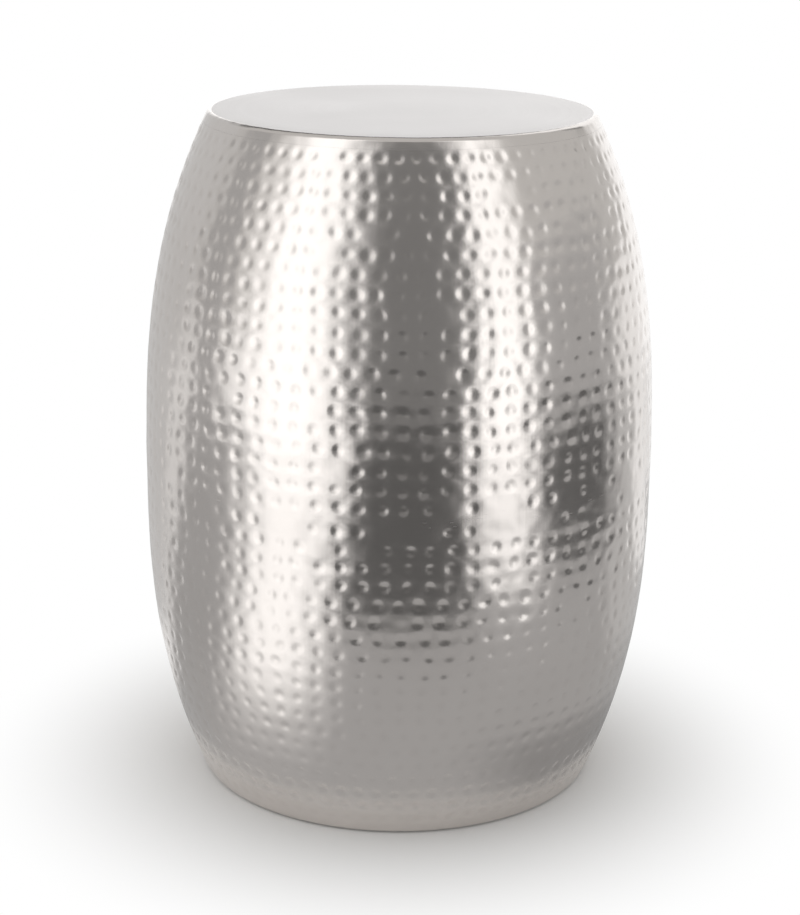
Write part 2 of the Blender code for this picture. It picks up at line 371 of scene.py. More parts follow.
@dataclass(frozen=True)
class BarrelOutline:
    """Turned outline of the drum.

    Attributes:
        height: height of the table.
        belly_radius: widest radius.
        belly_height: height of the widest place.
        rim_radius: radius at the top.
        base_radius: radius at the floor.
        upper_fullness: exponent of the curve above the belly.
        lower_fullness: exponent of the curve below the belly.
        arc_steps: points at which lengths along the flank are taken.
    """

    height: float
    belly_radius: float
    belly_height: float = 0.204
    rim_radius: float = 0.1285
    base_radius: float = 0.1367
    upper_fullness: float = 2.87
    lower_fullness: float = 2.45
    arc_steps: int = 4000

    @classmethod
    def from_frame(cls) -> "BarrelOutline":
        """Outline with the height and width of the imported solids."""
        return cls(height=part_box("top_plate")[1].z, belly_radius=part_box("lower_shell")[1].x)

    def _shares(self, height: float) -> tuple[float, float]:
        """How far up and how far down from the belly a height lies, from zero to one."""
        up = (height - self.belly_height) / (self.height - self.belly_height)
        return max(up, 0.0), max(1 - height / self.belly_height, 0.0)

    def radius(self, height: float) -> float:
        """Outer radius at a height.

        Args:
            height: height on the flank.

        Returns:
            The radius.
        """
        up, down = self._shares(height)
        upper = (self.belly_radius - self.rim_radius) * up**self.upper_fullness
        lower = (self.belly_radius - self.base_radius) * down**self.lower_fullness
        return self.belly_radius - upper - lower

    def slope(self, height: float) -> float:
        """Change of radius with height.

        Args:
            height: height on the flank.

        Returns:
            The slope.
        """
        up, down = self._shares(height)
        upper = self.upper_fullness * (self.belly_radius - self.rim_radius)
        lower = self.lower_fullness * (self.belly_radius - self.base_radius)
        rise = upper / (self.height - self.belly_height) * up ** (self.upper_fullness - 1)
        fall = lower / self.belly_height * down ** (self.lower_fullness - 1)
        return fall - rise

    def point(self, height: float, depth: float = 0.0) -> Point2:
        """Point of the flank, or below its surface.

        Args:
            height: height at the surface.
            depth: distance below the surface.

        Returns:
            Radius and height.
        """
        slope = self.slope(height)
        across = 1 / math.hypot(1, slope)
        return self.radius(height) - depth * across, height + depth * slope * across

    def path(self, top: float, bottom: float, steps: int, depth: float = 0.0) -> list[Point2]:
        """Points down the flank."""
        return [self.point(float(z), depth) for z in np.linspace(top, bottom, steps + 1)]

    def arcs(self) -> tuple[np.ndarray, np.ndarray]:
        """Heights up the flank, and the length along it from the floor to each.

        Returns:
            Heights and lengths.
        """
        heights = np.linspace(0, self.height, self.arc_steps)
        radii = np.array([self.radius(float(z)) for z in heights])
        spans = np.hypot(np.diff(heights), np.diff(radii))
        return heights, np.concatenate([[0], np.cumsum(spans)])

    def arc_at(self, height: float) -> float:
        """Length along the flank from the floor to a height."""
        heights, lengths = self.arcs()
        return float(np.interp(height, heights, lengths))

    def heights_at(self, lengths: np.ndarray) -> np.ndarray:
        """Heights at lengths along the flank."""
        heights, table = self.arcs()
        return np.interp(lengths, table, heights)


def ring_spots(radius: float, height: float, sides: int) -> list[Point3]:
    """Points of a level circle about the axis."""
    angles = [FULL_TURN * side / sides for side in range(sides)]
    return [(radius * math.cos(a), radius * math.sin(a), height) for a in angles]


def bridged(shape: BMesh, rings: list[list[BMVert]], closed: bool) -> None:
    """Adds faces from each ring of points to the next.

    Args:
        shape: shape that gets the faces.
        rings: rings of as many points each; a pole is one point many times.
        closed: whether the last ring joins the first.
    """
    following = rings[1:] + rings[:1] if closed else rings[1:]
    for above, below in zip(rings, following):
        for side in range(len(above)):
            after = (side + 1) % len(above)
            corners = list(dict.fromkeys((above[side], below[side], below[after], above[after])))
            if len(corners) > 2:
                shape.faces.new(corners)


def turned(name: str, path: Sequence[Point2], sides: int = ROUND_SIDES, closed: bool = True) -> Mesh:
    """Mesh turned about the axis of the drum.

    Args:
        name: name of the mesh.
        path: section as radius and height; a radius of zero is a pole.
        sides: facets round the axis.
        closed: whether the last point joins the first.

    Returns:
        Smooth mesh with its creases kept.
    """
    shape = bmesh.new()
    rings = []
    for radius, height in path:
        if radius == 0:
            rings.append([shape.verts.new((0, 0, height))] * sides)
        else:
            rings.append([shape.verts.new(spot) for spot in ring_spots(radius, height, sides)])
    bridged(shape, rings, closed)
    return mesh_from(name, shape, outward=closed)


def mesh_from(name: str, shape: BMesh, outward: bool = True) -> Mesh:
    """Smooth mesh of a shape, with its creases kept.

    Args:
        name: name of the mesh.
        shape: shape, which is freed.
        outward: whether the faces are turned to point outwards.

    Returns:
        The mesh.
    """
    if outward:
        bmesh.ops.recalc_face_normals(shape, faces=shape.faces[:])
    mesh = bpy.data.meshes.new(name)
    shape.to_mesh(mesh)
    shape.free()
    mesh.shade_smooth()
    mesh.set_sharp_from_angle(angle=CREASE_ANGLE)
    return mesh


def softened(path: Sequence[Point2], radius: float, steps: int = 3) -> list[Point2]:
    """Closed section with its corners rounded.

    Args:
        path: corners as radius and height.
        radius: length of edge taken off each side of a corner.
        steps: spans round each corner.

    Returns:
        Section with rounded corners.
    """
    points = [Vector(p) for p in path]
    made = []
    for index, corner in enumerate(points):
        before, after = points[index - 1], points[(index + 1) % len(points)]
        spare = min((corner - before).length, (after - corner).length) / CORNER_SPARE
        cut = min(radius, spare)
        start = corner + (before - corner).normalized() * cut
        end = corner + (after - corner).normalized() * cut
        for step in range(steps + 1):
            share = step / steps
            bend = start.lerp(corner, share).lerp(corner.lerp(end, share), share)
            made.append((bend.x, bend.y))
    return made


def arc(centre: Point2, radius: float, start: float, sweep: float, steps: int) -> list[Point2]:
    """Points along an arc.

    Args:
        centre: middle of the arc, as radius and height.
        radius: radius of the arc.
        start: angle of the first point.
        sweep: angle turned through.
        steps: number of spans.

    Returns:
        Points as radius and height.
    """
    angles = [start + sweep * step / steps for step in range(steps + 1)]
    return [(centre[0] + radius * math.cos(a), centre[1] + radius * math.sin(a)) for a in angles]


def joined(name: str, meshes: Sequence[Mesh]) -> Mesh:
    """One mesh from several, welded where their edges meet.

    Args:
        name: name of the new mesh.
        meshes: meshes that share edges, with their materials.

    Returns:
        The welded mesh.
    """
    holders = [bpy.data.objects.new(mesh.name, mesh) for mesh in meshes]
    for holder in holders:
        bpy.context.scene.collection.objects.link(holder)
    chief = holders[0]
    with bpy.context.temp_override(
        object=chief, active_object=chief, selected_objects=holders, selected_editable_objects=holders
    ):
        bpy.ops.object.join()
    mesh = chief.data
    bpy.data.objects.remove(chief)
    shape = bmesh.new()
    shape.from_mesh(mesh)
    bmesh.ops.remove_doubles(shape, verts=shape.verts[:], dist=WELD_TOLERANCE)
    open_edges = sum(1 for edge in shape.edges if len(edge.link_faces) != 2)
    LOG.info("%s: %d triangles, %d open edges", name, len(shape.calc_loop_triangles()), open_edges)
    shape.to_mesh(mesh)
    shape.free()
    mesh.shade_smooth()
    mesh.set_sharp_from_angle(angle=CREASE_ANGLE)
    mesh.name = name
    drop_empty_slots(mesh)
    return mesh


def baked(part: Mesh, tree: NodeTree, values: dict[str, Any]) -> Mesh:
    """Plain mesh that a geometry tree makes of a part.

    Args:
        part: mesh that the tree starts from.
        tree: geometry tree.
        values: value for each named input that differs from its default.

    Returns:
        The new mesh.
    """
    holder = bpy.data.objects.new(part.name, part)
    bpy.context.scene.collection.objects.link(holder)
    modifier = holder.modifiers.new("tree", "NODES")
    modifier.node_group = tree
    keys = {item.name: item.identifier for item in tree.interface.items_tree}
    for name, value in values.items():
        modifier[keys[name]] = value
    graph = bpy.context.evaluated_depsgraph_get()
    grown = holder.evaluated_get(graph)
    mesh = bpy.data.meshes.new_from_object(grown, preserve_all_data_layers=True, depsgraph=graph)
    holder.modifiers.remove(modifier)
    bpy.data.objects.remove(holder)
    return mesh


def drop_empty_slots(mesh: Mesh) -> None:
    """Takes out material slots that hold no material.

    Args:
        mesh: mesh to clear of them.
    """
    for index in reversed(range(len(mesh.materials))):
        if mesh.materials[index] is None:
            mesh.materials.pop(index=index)


def place_piece(name: str, mesh: Mesh, slot: str, nodes: Sequence[str]) -> None:
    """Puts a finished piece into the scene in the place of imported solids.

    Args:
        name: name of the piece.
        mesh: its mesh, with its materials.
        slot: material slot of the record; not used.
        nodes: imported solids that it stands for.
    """
    piece = bpy.data.objects.new(name, mesh)
    bpy.context.scene.collection.objects.link(piece)
    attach(piece, BODY)
    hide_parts(*nodes)
    LOG.info("%s: %d faces for %s", name, len(mesh.polygons), ", ".join(nodes))


def place_prop(name: str, mesh: Mesh, finish: Material, mirrored_only: bool, turn: float = 0.0) -> None:
    """Puts a thing of the studio into the scene.

    Args:
        name: name of the thing.
        mesh: its mesh.
        finish: its material.
        mirrored_only: whether it shows in the metal and nowhere else.
        turn: turn about the upright axis, in radians.
    """
    mesh.materials.append(finish)
    prop = bpy.data.objects.new(name, mesh)
    bpy.context.scene.collection.objects.link(prop)
    prop.rotation_euler = Euler((0.0, 0.0, turn))
    for rays in ("camera", "diffuse", "shadow"):
        setattr(prop, f"visible_{rays}", not mirrored_only)


def new_material(name: str, bare: bool = False) -> tuple[Material, NodeSheet]:
    """New material and its node sheet.

    Args:
        name: name of the material.
        bare: whether the ready-made shader is taken out.

    Returns:
        Material and node sheet.
    """
    made = bpy.data.materials.new(name)
    made.use_nodes = True
    if bare:
        made.node_tree.nodes.remove(made.node_tree.nodes["Principled BSDF"])
    return made, NodeSheet(made.node_tree)


class Surface(NamedTuple):
    """What a finish varies over a piece.

    Attributes:
        wear: share of the worn tone.
        rough: roughness.
        relief: fine relief, in depths.
        depth: depth of the relief in metres.
    """

    wear: Field
    rough: Field
    relief: Field
    depth: float


@dataclass(frozen=True)
class Finish:
    """Surface of a piece.

    Attributes:
        label: name of the material.
        tone: colour of the clean surface.
        worn_tone: colour of the dull or dirty places.
        roughness: roughness of the clean surface.
        rough_spread: how far the roughness wanders.
        metallic: share of bare metal.
    """

    label: str
    tone: Colour
    worn_tone: Colour
    roughness: float
    rough_spread: float
    metallic: float = 1.0

    def _surface(self, sheet: NodeSheet, spot: Field) -> Surface:
        """What varies over the piece."""
        raise NotImplementedError

    def material(self) -> Material:
        """Makes the material.

        Returns:
            Material between the clean and the worn tone, with a fine relief.
        """
        made, sheet = new_material(self.label)
        shader = made.node_tree.nodes["Principled BSDF"]
        shader.inputs["Metallic"].default_value = self.metallic
        look = self._surface(sheet, sheet.made("ShaderNodeTexCoord", "Object"))
        feeds = {"Factor": look.wear, "A": (*self.tone, 1.0), "B": (*self.worn_tone, 1.0)}
        tone = sheet.made("ShaderNodeMix", "Result", feeds, data_type="RGBA", clamp_factor=True)
        sheet.feed(shader.inputs["Base Color"], tone)
        sheet.feed(shader.inputs["Roughness"], look.rough)
        feeds = {"Height": look.relief, "Distance": look.depth, "Strength": 1.0}
        sheet.feed(shader.inputs["Normal"], sheet.made("ShaderNodeBump", "Normal", feeds))
        return made


@dataclass(frozen=True)
class HammeredNickel(Finish):
    """Polished nickel tone over hammer marks, with scratches by the dressed seam.

    Attributes:
        seam_height: height of the seam.
        cloud_scale: fineness of the dull clouds.
        cloud_span: values of the noise between which a cloud sets in.
        streak_grain: fineness of the polishing streaks along each axis.
        streak_depth: relief of the polishing streaks.
        swell_scale: fineness of the soft swells that hammering leaves between the marks.
        swell_depth: relief of the swells.
        scratch_grain: fineness of the scratches along each axis.
        scratch_span: values of the noise between which a scratch sets in.
        scratch_reach: how far from the seam the scratches go.
        scratch_cut: depth of a scratch as a share of the streaks' relief.
        wear_shares: shares of clouds, marks and scratches in the worn tone.
        rough_rises: how far marks and scratches add to the roughness.
    """

    seam_height: float = 0.23
    cloud_scale: float = 11.0
    cloud_span: Point2 = (0.35, 0.75)
    streak_grain: Point3 = (520.0, 520.0, 7.0)
    streak_depth: float = 0.00002
    swell_scale: float = 60.0
    swell_depth: float = 0.00070
    scratch_grain: Point3 = (75.0, 75.0, 1300.0)
    scratch_span: Point2 = (0.66, 0.76)
    scratch_reach: float = 0.016
    scratch_cut: float = 0.4
    wear_shares: Point3 = (0.45, 0.30, 0.25)
    rough_rises: Point2 = (0.03, 0.12)

    def _surface(self, sheet: NodeSheet, spot: Field) -> Surface:
        """Clouds, streaks and scratches, a little darker in the hammer marks.

        Args:
            sheet: node sheet of the material.
            spot: place on the piece.

        Returns:
            Wear, roughness and relief.
        """
        marks = sheet.made("ShaderNodeAttribute", "Fac", attribute_name="hammer_depth")
        cloud = sheet.noise(spot, self.cloud_scale, 3.0)
        streak = sheet.noise(sheet.stretched(spot, self.streak_grain), 1.0, 3.0)
        scratch = sheet.noise(sheet.stretched(spot, self.scratch_grain), 1.0, 2.0)
        from_seam = (sheet.parts(spot)[2] - self.seam_height).apply("ABSOLUTE")
        near_seam = 1.0 - from_seam.eased(0.0, self.scratch_reach)
        cut = scratch.eased(*self.scratch_span) * near_seam
        by_cloud, by_mark, by_cut = self.wear_shares
        wear = cloud.eased(*self.cloud_span) * by_cloud + marks * by_mark + cut * by_cut
        by_mark, by_cut = self.rough_rises
        rough = self.roughness + (cloud - 0.5) * self.rough_spread + marks * by_mark + cut * by_cut
        swell = sheet.noise(spot, self.swell_scale, 1.0) * (self.swell_depth / self.streak_depth)
        return Surface(wear, rough, streak + swell - cut * self.scratch_cut, self.streak_depth)


@dataclass(frozen=True)
class SatinNickel(Finish):
    """Satin nickel tone with faint rings from the spinning lathe.

    Attributes:
        cloud_scale: fineness of the soft clouds.
        ring_pitch: distance between the rings.
        ring_sway: how far the clouds bend the rings, in rings.
        ring_depth: relief of the rings.
        ring_rough: how far the rings change the roughness.
        grain_scale: fineness of the blasted grain.
        grain_share: relief of the grain as a share of the rings'.
    """

    cloud_scale: float = 9.0
    ring_pitch: float = 0.0009
    ring_sway: float = 1.5
    ring_depth: float = 0.000004
    ring_rough: float = 0.06
    grain_scale: float = 900.0
    grain_share: float = 0.6

    def _surface(self, sheet: NodeSheet, spot: Field) -> Surface:
        """Spun rings over soft clouds and a fine grain.

        Args:
            sheet: node sheet of the material.
            spot: place on the piece.

        Returns:
            Wear, roughness and relief.
        """
        cloud = sheet.noise(spot, self.cloud_scale, 4.0)
        grain = sheet.noise(sheet.stretched(spot, (self.grain_scale,) * 3), 1.0, 2.0)
        across = sheet.away(spot) / self.ring_pitch
        rings = sheet.noise(sheet.vector(across, cloud * self.ring_sway, 0.0), 1.0, 2.0)
        wear = cloud.eased(0.3, 0.8) * 0.5 + rings.eased(0.4, 0.8) * 0.12
        rough = self.roughness + (cloud - 0.5) * self.rough_spread + (rings - 0.5) * self.ring_rough
        return Surface(wear, rough, rings + grain * self.grain_share, self.ring_depth)


@dataclass(frozen=True)
class MillSteel(Finish):
    """Plain steel as it comes from the mill, with scale and rolling marks.

    Attributes:
        blotch_scale: fineness of the blotches of mill scale.
        grain: stretch of the rolling marks along each axis.
        pit_scale: fineness of the pits.
        relief: depth of the marks and pits.
    """

    blotch_scale: float = 38.0
    grain: Point3 = (60.0, 60.0, 60.0)
    pit_scale: float = 900.0
    relief: float = 0.00003

    def _surface(self, sheet: NodeSheet, spot: Field) -> Surface:
        """Blotches of scale, rolling marks and pits.

        Args:
            sheet: node sheet of the material.
            spot: place on the piece.

        Returns:
            Wear, roughness and relief.
        """
        blotch = sheet.noise(spot, self.blotch_scale, 5.0)
        rolled = sheet.noise(sheet.stretched(spot, self.grain), 1.0, 4.0)
        pits = sheet.noise(spot, self.pit_scale, 2.0)
        wear = blotch.eased(0.42, 0.68) * 0.8 + rolled * 0.2
        rough = self.roughness + (blotch - 0.5) * self.rough_spread + (rolled - 0.5) * 0.1
        return Surface(wear, rough, rolled * 0.6 + pits * 0.4, self.relief)


@dataclass(frozen=True)
class FootRubber(Finish):
    """Matt moulded rubber with a fine texture and dusty patches.

    Attributes:
        metallic: share of bare metal.
        dust_scale: fineness of the dusty patches.
        grain_scale: fineness of the moulded texture.
        grain_depth: relief of the texture.
    """

    metallic: float = 0.0
    dust_scale: float = 120.0
    grain_scale: float = 2600.0
    grain_depth: float = 0.00004

    def _surface(self, sheet: NodeSheet, spot: Field) -> Surface:
        """Dusty patches over a fine moulded grain.

        Args:
            sheet: node sheet of the material.
            spot: place on the piece.

        Returns:
            Wear, roughness and relief.
        """
        dust = sheet.noise(spot, self.dust_scale, 4.0)
        grain = sheet.noise(spot, self.grain_scale, 2.0)
        rough = self.roughness + (dust - 0.5) * self.rough_spread
        return Surface(dust.eased(0.5, 0.75) * 0.6, rough, grain, self.grain_depth)


SHELL_FINISH = HammeredNickel("hammered_nickel", (0.755, 0.715, 0.685), (0.68, 0.64, 0.61), 0.19, 0.05)
TOP_FINISH = SatinNickel("satin_nickel", (0.735, 0.714, 0.706), (0.69, 0.668, 0.658), 0.34, 0.06)
WELD_FINISH = replace(SHELL_FINISH, label="dressed_seam_nickel")
INNER_FINISH = MillSteel("raw_inside", (0.50, 0.485, 0.465), (0.36, 0.345, 0.325), 0.42, 0.16)
STEEL_FINISH = MillSteel("mill_steel", (0.40, 0.39, 0.38), (0.26, 0.25, 0.24), 0.46, 0.18)
ZINC_FINISH = MillSteel("zinc_plate", (0.63, 0.63, 0.60), (0.50, 0.49, 0.46), 0.30, 0.12, relief=0.00001)
RUBBER_FINISH = FootRubber("moulded_rubber", (0.022, 0.022, 0.023), (0.060, 0.058, 0.055), 0.78, 0.16)


@dataclass(frozen=True)
class HammerMarks:
    """Rows of hammer marks round the drum.

    Attributes:
        row_pitch: distance between rows on the flank.
        rim_pitch: distance between rows near the top.
        rim_reach: length of flank over which the rows open out.
        rim_margin: distance from the top's skirt to the first row.
        seam_margin: distance from the seam to the nearest row.
        base_margin: height of the lowest row.
        columns: number of marks in a row.
        column_drift: how far the columns lean from row to row, in marks.
        column_slip: how far a whole row slips to either side, in marks.
        reach_share: radius of a mark as a share of the row's spacing.
        depth_share: depth of a mark as a share of its radius.
        dish_power: exponent of a mark's shape, from the edge to the middle.
        stretch: how far a mark is drawn out one way, as a share.
        place_jitter: how far a mark strays along its row.
        wander: how far the marks stray from even rows and columns.
        wander_pitch: distance over which they stray to and fro.
        size_low: smallest mark as a share of the largest.
        depth_spread: how far depths differ, as a share.
        miss_share: share of marks left out.
        seam_miss: share of marks left out by the seam.
        seam_band: distances from the seam between which that share falls to nothing.
        waviness: depth of the slow hollows of hand work.
        seed: seed of all draws.
    """

    row_pitch: float = 0.0121
    rim_pitch: float = 0.0112
    rim_reach: float = 0.060
    rim_margin: float = 0.0056
    seam_margin: float = 0.0075
    base_margin: float = 0.0130
    columns: int = 78
    column_drift: float = 1.3
    column_slip: float = 0.20
    reach_share: float = 0.46
    depth_share: float = 0.102
    dish_power: float = 2.0
    stretch: float = 0.03
    place_jitter: float = 0.0016
    wander: float = 0.0045
    wander_pitch: float = 0.030
    size_low: float = 0.82
    depth_spread: float = 0.28
    miss_share: float = 0.015
    seam_miss: float = 0.38
    seam_band: Point2 = (0.006, 0.026)
    waviness: float = 0.0004
    seed: int = 11

    def lengths(self, outline: BarrelOutline, low: float, high: float) -> np.ndarray:
        """Lengths along the flank at which the rows lie.

        Args:
            outline: outline of the drum.
            low: length of the lowest row.
            high: length of the highest row.

        Returns:
            Lengths from low to high, with spans that follow the pitch.
        """
        top = outline.arc_at(outline.height)
        rows = [high]
        while rows[-1] > low:
            opening = min((top - rows[-1]) / self.rim_reach, 1.0)
            rows.append(rows[-1] - self.rim_pitch - (self.row_pitch - self.rim_pitch) * opening)
        rows = np.array(rows[::-1])
        return low + (rows - rows[0]) * (high - low) / (rows[-1] - rows[0])

    def guide(self, outline: BarrelOutline, rows: Point2, edges: Point2) -> Mesh:
        """Loose points up the flank, one for each row, that the tree grows marks from.

        Args:
            outline: outline of the drum.
            rows: lengths of the lowest and the highest row along the flank.
            edges: heights of the lower and the upper edge of the sheet.

        Returns:
            Mesh of points that carry the radius of their marks and the edges of their band.
        """
        lengths = self.lengths(outline, *rows)
        heights = outline.heights_at(lengths)
        ends = [outline.arc_at(edge) for edge in edges]
        borders = np.concatenate([ends[:1], (lengths[1:] + lengths[:-1]) / 2, ends[1:]])
        room = np.minimum(lengths - borders[:-1], borders[1:] - lengths)
        levels = np.concatenate([edges[:1], outline.heights_at(borders[1:-1]), edges[1:]])
        pitches = np.array([outline.radius(float(z)) for z in heights]) * FULL_TURN / self.columns
        mesh = bpy.data.meshes.new("rows")
        mesh.from_pydata([(outline.radius(float(z)), 0.0, float(z)) for z in heights], [], [])
        carried = {
            "mark_reach": np.minimum(2 * room, np.minimum(pitches, self.row_pitch)) * self.reach_share,
            "band_low": levels[:-1],
            "band_high": levels[1:],
        }
        for name, values in carried.items():
            mesh.attributes.new(name, "FLOAT", "POINT").data.foreach_set("value", values.astype(np.float32))
        return mesh


class HammeredSkin:
    """Node tree that rolls a sheet full of hammer marks into the flank of the drum.

    The marks are laid out on a flat ring-shaped sheet, whose radius stands for height, so the
    sheet closes on itself. The land round each row of marks is filled, and the sheet is rolled up.
    """

    SCRATCH: ClassVar[tuple[str, ...]] = (
        *("row", "around", "level", "band_low", "band_high"),
        *("mark_reach", "mark_depth", "mark_shape", "mark_stretch"),
    )
    LINE_SIZES: ClassVar[tuple[str, ...]] = (
        "belly_radius",
        "belly_height",
        "upper_fullness",
        "lower_fullness",
    )
    MARK_SIZES: ClassVar[tuple[str, ...]] = (
        *("column_drift", "column_slip", "depth_share", "dish_power", "stretch", "place_jitter"),
        *("wander", "wander_pitch", "waviness", "columns", "seed"),
    )
    SHEET_SCALE: ClassVar[float] = 6.2
    DRIFT_STEPS: ClassVar[Point2] = (0.4, 1.7)
    ROOM_SHARE: ClassVar[float] = 0.48
    STRAY_STEPS: ClassVar[Point2] = (7.3, 3.1)
    WAVE_SCALE: ClassVar[float] = 40.0
    EDGE_FADE: ClassVar[float] = 0.02
    QUIET_FADE: ClassVar[float] = 0.006
    BOWL_WELD: ClassVar[float] = 1e-4
    LAND_WELD: ClassVar[float] = 4e-5

    def __init__(self, outline: BarrelOutline, marks: HammerMarks) -> None:
        """Builds the tree.

        Args:
            outline: outline of the drum.
            marks: sizes of the hammer marks.
        """
        self.outline = outline
        self.marks = marks
        self.tree = bpy.data.node_groups.new("hammered_skin", "GeometryNodeTree")
        self.sheet = NodeSheet(self.tree)
        self.inputs = self._declare()
        self._wire()

    def _declare(self) -> dict[str, Field]:
        """Adds the named inputs of the tree.

        Returns:
            Field of each input.
        """
        line = self.outline
        reach_up = line.height - line.belly_height
        inputs = {
            "Rows": Socket.GEOMETRY,
            "Upper Reach": reach_up,
            "Upper Draw": line.belly_radius - line.rim_radius,
            "Lower Reach": line.belly_height,
            "Lower Draw": line.belly_radius - line.base_radius,
            "Low Edge": 0.0,
            "High Edge": reach_up,
            "Seam Height": line.height / 2,
            "Seam Quiet": 0.0,
            "Sheet": 0.0,
            "Mark Sides": 12,
            "Mark Rings": 3,
            "Edge Sides": ROUND_SIDES,
            "Outside": False,
            "Finish": Socket.MATERIAL,
        }
        for owner, names in ((line, self.LINE_SIZES), (self.marks, self.MARK_SIZES)):
            inputs |= {name.replace("_", " ").title(): getattr(owner, name) for name in names}
        return self.sheet.declare(inputs, "Skin")

    def _flank(self, height: Field) -> tuple[Field, Field, Field]:
        """Radius, slope and levelling factor of the flank at a height.

        Args:
            height: height on the flank.

        Returns:
            Radius, change of radius with height, and the cosine of the lean.
        """
        get = self.inputs
        up = ((height - get["Belly Height"]) / get["Upper Reach"]).at_least(0.0)
        down = ((get["Belly Height"] - height) / get["Lower Reach"]).at_least(0.0)
        upper = get["Upper Draw"] * up.power(get["Upper Fullness"])
        lower = get["Lower Draw"] * down.power(get["Lower Fullness"])
        rise = get["Upper Draw"] * get["Upper Fullness"] / get["Upper Reach"]
        fall = get["Lower Draw"] * get["Lower Fullness"] / get["Lower Reach"]
        slope = fall * down.power(get["Lower Fullness"] - 1.0) - rise * up.power(get["Upper Fullness"] - 1.0)
        return get["Belly Radius"] - upper - lower, slope, (slope * slope + 1.0).power(-0.5)

    def _spread(self, height: Field) -> Field:
        """Radius on the flat sheet that stands for a height."""
        middle = (self.inputs["Low Edge"] + self.inputs["High Edge"]) * 0.5
        return ((height - middle) * self.SHEET_SCALE).apply("EXPONENT")

    def _rows(self) -> Field:
        """Points that stand for the rows, with their numbers."""
        points = self.sheet.made("GeometryNodeMeshToPoints", "Points", {"Mesh": self.inputs["Rows"]})
        return self.sheet.stored(points, "row", self.sheet.made("GeometryNodeInputIndex", "Index"))

    def _borders(self, rows: Field, name: str) -> Field:
        """Circles on the flat sheet along one border of each row's band.

        Args:
            rows: points that stand for the rows.
            name: value that carries the height of the border.

        Returns:
            Curve geometry.
        """
        sheet = self.sheet
        spread = self._spread(sheet.named(name))
        middles = sheet.moved(rows, sheet.vector(0.0, 0.0, 0.0))
        ring = self._circle(self.inputs["Edge Sides"])
        return sheet.copied(middles, ring, Scale=sheet.vector(spread, spread, 1.0))

    def _centres(self, points: Field) -> Field:
        """Points on the flat sheet, one at the middle of each mark, with its sizes.

        Args:
            points: points that stand for the rows.

        Returns:
            Point geometry.
        """
        sheet, get, marks = self.sheet, self.inputs, self.marks
        index = sheet.made("GeometryNodeInputIndex", "Index")
        row_radius, _, row_height = sheet.parts(sheet.made("GeometryNodeInputPosition", "Position"))
        row, count, seed = sheet.named("row"), get["Columns"], get["Seed"]
        feeds = {"Geometry": points, "Amount": count}
        copies = sheet.node("GeometryNodeDuplicateElements", feeds, domain="POINT")
        points = sheet.out(copies, "Geometry")
        by_row, by_seed = self.DRIFT_STEPS
        drift = sheet.noise(sheet.vector(row * by_row, seed * by_seed, 0.0), 1.0, 1.0) * get["Column Drift"]
        slip = sheet.random(-1.0, 1.0, row, seed) * get["Column Slip"]
        pitch = row_radius * FULL_TURN / count
        widest = sheet.named("mark_reach") * (get["Stretch"] + 1.0)
        spare = (pitch * self.ROOM_SHARE - widest).at_least(0.0)
        sway = sheet.math("MINIMUM", spare, get["Place Jitter"])
        stray = sheet.random(-1.0, 1.0, index, seed + Draw.PLACE.value) * sway / pitch
        around = (sheet.out(copies, "Duplicate Index") + drift + slip + stray) * FULL_TURN / count
        points = sheet.stored(points, "around", around)
        points = sheet.stored(points, "level", row_height)
        reach = sheet.named("mark_reach")
        size = sheet.random(marks.size_low, 1.0, index, seed + Draw.SIZE.value)
        points = sheet.stored(points, "mark_reach", reach * size)
        spread = marks.depth_spread
        strength = sheet.random(1.0 - spread, 1.0 + spread, index, seed + Draw.DEPTH.value)
        points = sheet.stored(points, "mark_depth", reach * get["Depth Share"] * strength)
        drawn = sheet.random(-1.0, 1.0, index, seed + Draw.STRETCH.value) * get["Stretch"] + 1.0
        points = sheet.stored(points, "mark_stretch", drawn)
        level = sheet.named("level")
        from_seam = (level - get["Seam Height"]).apply("ABSOLUTE")
        missing = marks.miss_share + (1.0 - from_seam.eased(*marks.seam_band)) * marks.seam_miss
        feeds = {"Probability": missing, "ID": index, "Seed": seed + Draw.MISS.value}
        missed = sheet.made("FunctionNodeRandomValue", "Value", feeds, data_type="BOOLEAN")
        feeds = {"Geometry": points, "Selection": missed}
        points = sheet.made("GeometryNodeDeleteGeometry", "Geometry", feeds, domain="POINT")
        return sheet.moved(points, sheet.polar(self._spread(level), sheet.named("around")))

    def _bowl(self) -> Field:
        """Disc of rings with the shape of one mark, at unit radius.

        Returns:
            Mesh geometry.
        """
        sheet, get = self.sheet, self.inputs
        feeds = {"Vertices X": get["Mark Rings"] + 1, "Vertices Y": get["Mark Sides"] + 1}
        disc = sheet.made("GeometryNodeMeshGrid", "Mesh", {"Size X": 1.0, "Size Y": 1.0, **feeds})
        out, turn, _ = sheet.parts(sheet.made("GeometryNodeInputPosition", "Position"))
        out, turn = out + 0.5, (turn + 0.5) * FULL_TURN
        shape = (1.0 - out * out).at_least(0.0).power(get["Dish Power"])
        disc = sheet.moved(sheet.stored(disc, "mark_shape", shape), sheet.polar(out, turn))
        return self._welded(disc, self.BOWL_WELD)

    def _circle(self, sides: Field) -> Field:
        """Circle of unit radius on the flat sheet."""
        feeds = {"Resolution": sides, "Radius": 1.0}
        return self.sheet.made("GeometryNodeCurvePrimitiveCircle", "Curve", feeds, mode="RADIUS")

    def _welded(self, geometry: Field, distance: float) -> Field:
        """Geometry whose points are one where they lie close."""
        feeds = {"Geometry": geometry, "Distance": distance}
        return self.sheet.made("GeometryNodeMergeByDistance", "Geometry", feeds)

